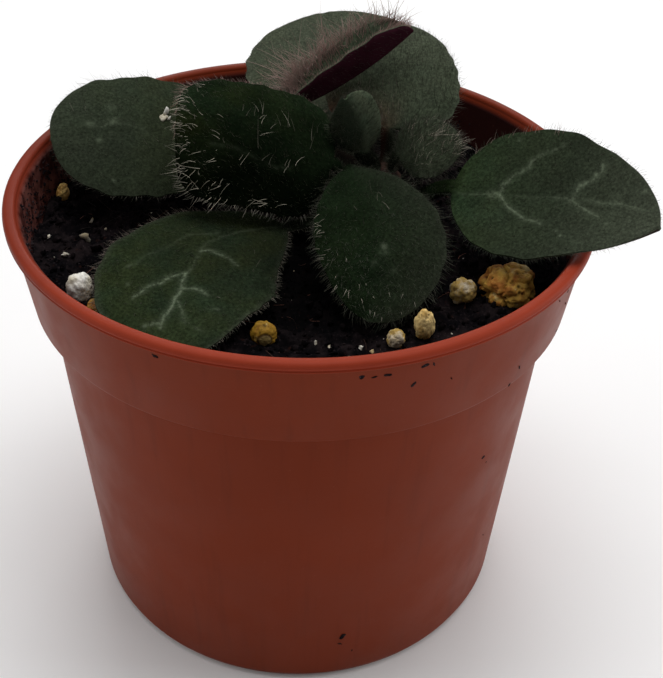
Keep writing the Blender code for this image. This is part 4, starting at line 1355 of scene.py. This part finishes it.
class Surface:
    """A leaf's faces, sampled from crown to tip (rows) and from left to right (columns)."""

    def __init__(self, leaf):
        self.leaf = leaf
        petiole_rows, blade_rows, columns = leaf.grid
        even = np.linspace(-1, 1, columns)
        self.share = even * (0.62 + 0.38 * even ** 2)
        found = stations(leaf, petiole_rows, blade_rows)
        hands = right_hands(leaf, found)
        self.t = np.array([t for _, _, t in found])
        self.smooth = np.array([[leaf_point(leaf, station, hands[index], share) for share in self.share]
                                for index, station in enumerate(found)])
        self.along = unit(np.gradient(self.smooth, axis=0))
        self.right = unit(np.gradient(self.smooth, axis=1))
        self.normal = unit(np.cross(self.right, self.along))
        self.width = np.array([outline(leaf, t) if t > 0 else PETIOLE_HALF_WIDTH for t in self.t])
        steps = [(b[0] - a[0]).length for a, b in zip(found, found[1:])]
        run = np.concatenate([[0.0], np.cumsum(steps)])
        self.run = run - run[self.t >= 0][0]
        self.x = self.share[None, :] * self.width[:, None]
        self.y = np.repeat(self.run[:, None], len(self.share), axis=1)
        self.lay_veins()
        self.lay_faces()

    def flat(self, t, share):
        """A place on the blade, given by t and share, in the blade's plane."""
        run = float(np.interp(t, self.t, self.run))
        return share * outline(self.leaf, max(t, 0.02)), run

    def branches(self):
        """The veins to either side of the rib, with their strengths at both ends."""
        leaf = self.leaf
        lines = [(*vein[:2], [self.flat(*place) for place in vein[2:]]) for vein in leaf.veins]
        if not leaf.side_veins:
            return lines
        rib_t, rib_share = zip(*leaf.rib)
        strength = leaf.side_veins
        for pair, start in enumerate(SIDE_VEINS):
            origin = float(np.interp(start, rib_t, rib_share))
            for side in (-1, 1):
                leave = start + 0.02 * side
                middle = (leave + 0.10, origin + side * 0.38)
                end = (min(leave + 0.22 + 0.02 * pair, 0.95), side * 0.78)
                fork = (min(leave + 0.28, 0.97), side * 0.50)
                whole = [self.flat(*place) for place in ((leave, origin), middle, end)]
                lines.append((strength, strength / 3, whole))
                lines.append((strength * 0.6, 0.0, [self.flat(*middle), self.flat(*fork)]))
        return lines

    def lay_veins(self):
        """How pale, and how near a vein, each place is. The veins wander, swell and thin."""
        leaf = self.leaf
        drift = np.array([[noise.noise_vector(Vector(point) * VEIN_WANDER_RATE) for point in row]
                          for row in self.smooth])
        x = self.x + drift[:, :, 0] * VEIN_WANDER
        y = self.y + drift[:, :, 1] * VEIN_WANDER
        swell = 1 + 0.9 * drift[:, :, 2]
        on_blade = np.clip(self.t / 0.03, 0, 1)[:, None]
        rib = distance_to_line(x, y, [self.flat(*place) for place in leaf.rib])[0]
        self.rib_depth = bell(rib, RIB_GROOVE_WIDTH) * on_blade
        self.side_depth = np.zeros_like(rib)
        self.pale = leaf.rib_strength * bell(rib, RIB_WIDTH * swell) * on_blade
        self.near = bell(rib, QUILT_FROM_VEIN)
        for start, end, corners in self.branches():
            away, along = distance_to_line(x, y, corners)
            strength = start + (end - start) * along
            line = np.maximum(bell(away, VEIN_WIDTH * swell), VEIN_HALO * bell(away, VEIN_HALO_WIDTH))
            self.pale = np.maximum(self.pale, strength * line * on_blade)
            self.side_depth = np.maximum(self.side_depth, bell(away, VEIN_GROOVE_WIDTH) * on_blade)
            self.near = np.maximum(self.near, bell(away, QUILT_FROM_VEIN))
        for strength, size, *place in leaf.dots:
            across_it, along_it = self.flat(*place)
            away = np.hypot(x - across_it, y - along_it)
            self.pale = np.maximum(self.pale, strength * bell(away, size))

    def lay_faces(self):
        """The upper face with its quilting, and the lower face with its raised veins."""
        size = self.leaf.half_width / TYPICAL_HALF_WIDTH
        margin = np.clip((1 - np.abs(self.share)) / 0.25, 0, 1)[None, :]
        quilt = QUILT_HEIGHT * size * (1 - self.near) * margin * np.clip(self.t / 0.1, 0, 1)[:, None]
        groove = (RIB_GROOVE * self.rib_depth + VEIN_GROOVE * self.side_depth) * size
        skin = np.array([[noise.fractal(Vector(point) * SKIN_RATE, 0.9, 2.1, 3) for point in row]
                         for row in self.smooth]) * SKIN_HEIGHT
        on_blade = np.clip(self.t / 0.06 + 0.5, 0, 1)[:, None]
        crown = STALK_CROWN * (1 - self.share ** 2)[None, :] * (1 - on_blade)
        relief = quilt - groove + skin * margin + crown
        self.upper = self.smooth + self.normal * relief[:, :, None]
        edge = np.sqrt(np.clip(1 - np.abs(self.share) ** 6, 0, 1))[None, :]
        tapering = np.clip(1 - 0.8 * self.t, 0.1, 1)[:, None]
        rib = bell(self.x, RIB_RIDGE_WIDTH) * tapering * (PETIOLE_THICKNESS - BLADE_THICKNESS)
        blade = (MARGIN_THICKNESS + (BLADE_THICKNESS - MARGIN_THICKNESS) * edge + rib * size
                 + VEIN_RIDGE * self.side_depth * size)
        stalk = PETIOLE_THICKNESS * np.sqrt(np.clip(1 - self.share ** 2, 0.02, 1))[None, :]
        thickness = stalk * (1 - on_blade) + blade * on_blade
        self.lower = self.smooth - self.normal * thickness[:, :, None]

    def mesh(self):
        """The leaf's closed mesh: a grid laid on the upper face, extruded to the lower one."""
        rows, columns = self.x.shape
        shape = bmesh.new()
        bmesh.ops.create_grid(shape, x_segments=columns - 1, y_segments=rows - 1, size=1.0)
        row_of = shape.verts.layers.int.new("row")
        column_of = shape.verts.layers.int.new("column")
        for vertex in shape.verts:
            vertex[row_of] = round((vertex.co.y + 1) / 2 * (rows - 1))
            vertex[column_of] = round((vertex.co.x + 1) / 2 * (columns - 1))
            vertex.co = self.upper[vertex[row_of], vertex[column_of]]
        upper_faces = len(shape.faces)
        lowered = bmesh.ops.extrude_face_region(shape, geom=list(shape.faces))
        under = {item for item in lowered["geom"] if isinstance(item, bmesh.types.BMVert)}
        for vertex in under:
            vertex.co = self.lower[vertex[row_of], vertex[column_of]]
        for face in shape.faces:
            face.material_index = int(all(vertex in under for vertex in face.verts))
        bmesh.ops.recalc_face_normals(shape, faces=shape.faces)
        if len(shape.faces) <= 2 * upper_faces:
            raise RuntimeError(self.leaf.name + " has lost its upper face")
        mesh = to_mesh(shape)
        self.tone(mesh, *[self.taken(mesh, name) for name in ("row", "column")])
        return mesh

    @staticmethod
    def taken(mesh, name):
        """Take a whole number off each of a mesh's vertices."""
        values = np.empty(len(mesh.vertices), dtype=np.int32)
        stored = mesh.attributes[name]
        stored.data.foreach_get("value", values)
        mesh.attributes.remove(stored)
        return values

    def tone(self, mesh, row, column):
        """Store what the finishes read at each vertex: its vein, bloom, shade and flush."""
        leaf = self.leaf
        t = np.clip(self.t[row], 0, 1)
        share = self.share[column]
        to_margin = (1 - np.abs(share)) * self.width[row]
        # The rim's grey is partly the hairs' own grey and partly painted sheen; fall and shade are partly
        # painted light and shade.
        bloom = (leaf.grey[0] + (leaf.grey[1] - leaf.grey[0]) * t + leaf.grey[2] * share
                 + leaf.rim * bell(to_margin, RIM_WIDTH))
        on_blade = np.clip(self.t[row] / 0.06 + 0.3, 0, 1)
        fall = np.interp(t, (0, 0.5, 1), leaf.fall[:3]) + leaf.fall[3] * share
        # Petioles are kept dark, as painted shade.
        stalk_shade = min(leaf.shade, STALK_SHADE)
        shade = stalk_shade + (leaf.shade * np.clip(fall, 0.3, 3) - stalk_shade) * on_blade
        carry(mesh, vein=self.pale[row, column], bloom=np.clip(bloom, 0, 1),
              olive=leaf.olive[0] + (leaf.olive[1] - leaf.olive[0]) * t, shade=shade,
              flush=leaf.flush * (0.2 + 0.8 * on_blade),
              foot=leaf.foot * bell(t, 0.20) * np.clip(0.3 - share, 0, 1))

    def sample(self, count, rng, face):
        """Random places on a face, even by area: their points, normals and directions along."""
        points = self.upper if face > 0 else self.lower
        area = doubled_areas(points).ravel()
        cells = rng.choice(len(area), size=count, p=area / area.sum())
        row, column = np.divmod(cells, points.shape[1] - 1)
        u, v = rng.uniform(0, 1, (2, count, 1))

        def between(grid):
            near = grid[row, column] * (1 - v) + grid[row, column + 1] * v
            far = grid[row + 1, column] * (1 - v) + grid[row + 1, column + 1] * v
            return near * (1 - u) + far * u

        return between(points), unit(between(self.normal)) * face, unit(between(self.along))

    def area(self):
        """The area of the leaf's upper face."""
        return doubled_areas(self.upper).sum() / 2


def face_hairs(surface, count, length, spread, face, rng):
    """Hairs that stand on a face and lean towards the tip."""
    roots, normals, along = surface.sample(count, rng, face)
    aims = unit(normals + along * 0.45 + rng.normal(0, spread, (count, 3)))
    bends = along * 0.25 + rng.normal(0, 0.18, (count, 3))
    lengths = length * rng.uniform(0.55, 1.25, count)
    return roots - aims * PILE_SUNK, aims, bends, lengths


def strand_hairs(surface, group, rng):
    """A group of longer hairs on the upper face, all aimed one way."""
    count, length, low, high, aim = group
    t = rng.uniform(low[0], high[0], count)
    share = rng.uniform(low[1], high[1], count)
    row = np.interp(t, surface.t, np.arange(len(surface.t)))
    column = np.interp(share, surface.share, np.arange(len(surface.share)))
    roots = surface.upper[np.rint(row).astype(int), np.rint(column).astype(int)]
    aims = unit(np.array(aim) + rng.normal(0, 0.20, (count, 3)))
    bends = rng.normal(0, 0.26, (count, 3)) + np.array([0.05, -0.06, -0.10])
    lengths = length * rng.uniform(0.65, 1.2, count)
    return roots - aims * HAIR_SUNK, aims, bends, lengths


def fringe_hairs(surface, rng):
    """Hairs that stand out from the margin, evenly spaced, with how pink and how dark each is."""
    leaf = surface.leaf
    parts = []
    for margin, (side, column) in enumerate(((-1, 0), (1, -1))):
        rim = (surface.upper[:, column] + surface.lower[:, column]) / 2
        steps = np.linalg.norm(np.diff(rim, axis=0), axis=1)
        run = np.concatenate([[0.0], np.cumsum(steps)])
        count = int(run[-1] * 1000 * leaf.fringe_per_mm[margin])
        places = (np.arange(count) + rng.uniform(0, 1, count)) / count * run[-1]
        roots = np.stack([np.interp(places, run, rim[:, axis]) for axis in range(3)], axis=1)
        row = np.searchsorted(run, places).clip(1, len(run) - 1)
        tangent = unit(rim[row] - rim[row - 1])
        normal = surface.normal[row, column]
        outward = unit(np.cross(tangent, normal)) * side
        t = surface.t[row]
        tipward = np.clip((t - 0.80) / 0.15, 0, 1)
        length = leaf.fringe[margin] * (1 - tipward) + leaf.fringe[2] * tipward
        length = np.where(t < 0, np.minimum(length, STALK_HAIR), length)
        lengths = length * rng.uniform(0.5, 1.2, count)
        lift = rng.uniform(-0.2, 0.6, count)[:, None]
        aims = unit(outward + normal * lift + tangent * 0.25 + rng.normal(0, leaf.spread, (count, 3)))
        bends = tangent * 0.25 + normal * 0.1 + rng.normal(0, leaf.spread, (count, 3))
        blush = np.full(count, leaf.blush[margin])
        # base_tone darkens the hairs towards the base, as painted shade.
        parts.append((roots - aims * HAIR_SUNK, aims, bends, lengths, blush, leaf.base_tone * (1 - t)))
    return [np.concatenate(values) for values in zip(*parts)]


class ROSETTE_OT_leaves(bpy.types.Operator):
    """Model the leaves with their veins, and the hairs on their faces and margins"""

    bl_idname = "rosette.leaves"
    bl_label = "Leaves"

    def execute(self, context):
        settings = context.scene.rosette_leaf
        crumbs = []
        for number, leaf in enumerate(LEAVES):
            slot = "young_leaf_velvet" if "young" in leaf.name else "leaf_velvet"
            upper = finish("velvet_blade", blade_finish, settings)
            lower = finish("velvet_underside", underside_finish, settings)
            surface = Surface(leaf)
            add_piece(leaf.name.replace("leaf_", "blade_"), surface.mesh(), [upper, lower], slot,
                      leaf.name, smooth_angle=70)
            self.add_hairs(surface, settings, slot, np.random.default_rng(100 + number))
            for t, share, size in leaf.crumbs:
                row = np.searchsorted(surface.t, t)
                column = np.searchsorted(surface.share, share)
                crumbs.append((surface.upper[row, column], size))
        self.add_crumbs(crumbs, np.random.default_rng(77))
        return {"FINISHED"}

    def add_hairs(self, surface, settings, slot, rng):
        """The short pile of both faces, and the longer hairs of the margin and the face."""
        leaf = surface.leaf
        hair = finish("hair", hair_finish, settings)
        label = leaf.name.replace("leaf_", "")
        count = int(surface.area() * 1e6 * settings.pile_per_mm2 * leaf.pile_density)
        above = face_hairs(surface, count, leaf.pile, 0.35, 1, rng)
        below = face_hairs(surface, int(count * leaf.pile_below), leaf.pile, 0.4, -1, rng)
        pile = [np.concatenate(pair) for pair in zip(above, below)]
        count = len(pile[0])
        mesh = hair_mesh(*pile, np.full(count, settings.hair_radius * 0.75), 1)
        carry(mesh, blush=sum(leaf.blush) / 2 * rng.uniform(0.3, 1.0, count),
              tone=rng.uniform(0.6, 1.0, count))
        add_piece("pile_" + label, mesh, [hair], slot)
        *fringe, blush, darker = fringe_hairs(surface, rng)
        tones = np.clip(rng.uniform(*leaf.hair_tone, len(blush)) + darker, 0, 1)
        radius = settings.hair_radius * leaf.thickness
        radii = np.full(len(blush), radius)
        hairs = [fringe]
        for group in leaf.strands:
            hairs.append(strand_hairs(surface, group, rng))
            added = group[0]
            blush = np.append(blush, np.full(added, leaf.blush[0] * 0.8))
            # gleam makes some strands paler, as a painted highlight.
            tones = np.append(tones, rng.uniform(-leaf.gleam, leaf.hair_tone[1] * 0.7, added))
            radii = np.append(radii, radius * rng.uniform(0.9, 1.3, added))
        mesh = hair_mesh(*[np.concatenate(parts) for parts in zip(*hairs)], radii, 4)
        carry(mesh, blush=blush * rng.uniform(0.5, 1.0, len(blush)), tone=tones)
        add_piece("fringe_" + label, mesh, [hair], slot)

    def add_crumbs(self, crumbs, rng):
        """White crumbs of perlite that lie on the leaves."""
        places = np.array([place for place, _ in crumbs])
        sizes = np.array([[size / 2, size / 2, size / 5] for _, size in crumbs])
        mesh = scatter_lumps(places, random_frames(len(crumbs), rng), sizes, 0.7, 3, rng)
        carry(mesh, warm=0.0, pit=0.0, dim=0.35)
        add_piece("leaf_crumbs", mesh, [finish("chalky_perlite", perlite_finish)], "perlite")


class ROSETTE_OT_crown(bpy.types.Operator):
    """Model the crown that the leaves grow from"""

    bl_idname = "rosette.crown"
    bl_label = "Crown"

    def execute(self, context):
        profile = [
            (0.0, ROOTSTOCK_END),
            (ROOTSTOCK_TIP_RADIUS, ROOTSTOCK_END),
            (CROWN_RADIUS * 0.82, SOIL_LEVEL - CROWN_RADIUS),
            (CROWN_RADIUS, SOIL_LEVEL + CROWN_RADIUS / 2),
            (CROWN_RADIUS, CROWN_TOP - CROWN_RADIUS / 4),
            (CROWN_RADIUS * 0.8, CROWN_TOP),
            (0.0, CROWN_TOP),
        ]
        shape = turn_profile(profile, 36)
        bmesh.ops.subdivide_edges(shape, edges=[edge for edge in shape.edges
                                                if edge.calc_length() > 0.0008], cuts=4,
                                  use_grid_fill=True)
        for vertex in shape.verts:
            flat = Vector((vertex.co.x, vertex.co.y, 0))
            scale = 1 + 0.10 * noise.fractal(vertex.co * 900, 0.8, 2.1, 3)
            vertex.co = Vector((flat.x * scale, flat.y * scale, vertex.co.z)) + CROWN
        stem = finish("crown_bark", stem_finish)
        add_piece("crown_stem", to_mesh(shape), [stem], "crown_stem", "crown")
        return {"FINISHED"}


class ROSETTE_OT_stage(bpy.types.Operator):
    """Lay the floor, hang the lights and place the camera"""

    bl_idname = "rosette.stage"
    bl_label = "Stage"

    def execute(self, context):
        settings = context.scene.rosette_stage
        scene = context.scene
        shape = bmesh.new()
        bmesh.ops.create_circle(shape, cap_ends=True, segments=64, radius=FLOOR_RADIUS)
        bmesh.ops.translate(shape, verts=shape.verts, vec=(0, 0, -FLOOR_DROP))
        mesh = to_mesh(shape, "floor")
        paper = Finish("floor_paper", Roughness=0.9, Specular_IOR_Level=0.1)
        tone = paper.mix(paper.noise(6, 3), scaled(settings.floor, 0.985), settings.floor)
        mesh.materials.append(paper.coloured(tone))
        floor = bpy.data.objects.new("floor", mesh)
        scene.collection.objects.link(floor)
        world = bpy.data.worlds.new("studio")
        world.use_nodes = True
        background = world.node_tree.nodes["Background"]
        background.inputs["Color"].default_value = (1.0, 1.0, 1.0, 1.0)
        background.inputs["Strength"].default_value = settings.sky
        scene.world = world
        for light in LIGHTS:
            self.hang(*light)
        scene.view_settings.view_transform = "Standard"
        camera = bpy.data.cameras.new("camera")
        camera.lens = settings.lens
        camera.sensor_width = 36.0
        camera.clip_start = 0.005
        made = bpy.data.objects.new("camera", camera)
        view = Matrix.Translation(CAMERA_PLACE)
        for degrees, axis in CAMERA_TURNS:
            view = view @ Matrix.Rotation(math.radians(degrees), 4, axis)
        made.matrix_world = view
        scene.collection.objects.link(made)
        scene.camera = made
        return {"FINISHED"}

    def hang(self, name, place, size, power):
        """A soft square light that faces the plant."""
        lamp = bpy.data.lights.new(name, "AREA")
        lamp.size = size
        lamp.energy = power
        made = bpy.data.objects.new(name, lamp)
        made.location = place
        toward = LIT_POINT - Vector(place)
        made.rotation_euler = toward.to_track_quat("-Z", "Y").to_euler()
        bpy.context.scene.collection.objects.link(made)


class ROSETTE_PT_panel(bpy.types.Panel):
    """The rosette's pieces and settings, in the 3D view's sidebar"""

    bl_idname = "ROSETTE_PT_panel"
    bl_label = "Rosette"
    bl_space_type = "VIEW_3D"
    bl_region_type = "UI"
    bl_category = "Rosette"

    def draw(self, context):
        for operator, group in STEPS:
            box = self.layout.box()
            box.operator(operator.bl_idname)
            if group:
                settings = getattr(context.scene, group)
                for name in settings.bl_rna.properties.keys():
                    if name not in ("rna_type", "name"):
                        box.prop(settings, name)


STEPS = [
    (ROSETTE_OT_pot, "rosette_pot"),
    (ROSETTE_OT_soil, "rosette_soil"),
    (ROSETTE_OT_grains, None),
    (ROSETTE_OT_crown, None),
    (ROSETTE_OT_leaves, "rosette_leaf"),
    (ROSETTE_OT_stage, "rosette_stage"),
]
GROUPS = {
    "rosette_pot": PotSettings,
    "rosette_soil": SoilSettings,
    "rosette_leaf": LeafSettings,
    "rosette_stage": StageSettings,
}


def register():
    """Register the settings, the operators and the panel."""
    for name, group in GROUPS.items():
        bpy.utils.register_class(group)
        setattr(bpy.types.Scene, name, PointerProperty(type=group))
    for operator, _ in STEPS:
        bpy.utils.register_class(operator)
    bpy.utils.register_class(ROSETTE_PT_panel)


def unregister():
    """Take back what register() added."""
    bpy.utils.unregister_class(ROSETTE_PT_panel)
    for operator, _ in reversed(STEPS):
        bpy.utils.unregister_class(operator)
    for name, group in GROUPS.items():
        delattr(bpy.types.Scene, name)
        bpy.utils.unregister_class(group)


def main():
    """Build every piece."""
    register()
    bpy.ops.rosette.pot()
    bpy.ops.rosette.soil()
    bpy.ops.rosette.grains()
    bpy.ops.rosette.crown()
    bpy.ops.rosette.leaves()
    bpy.ops.rosette.stage()


if __name__ == "__main__":
    main()
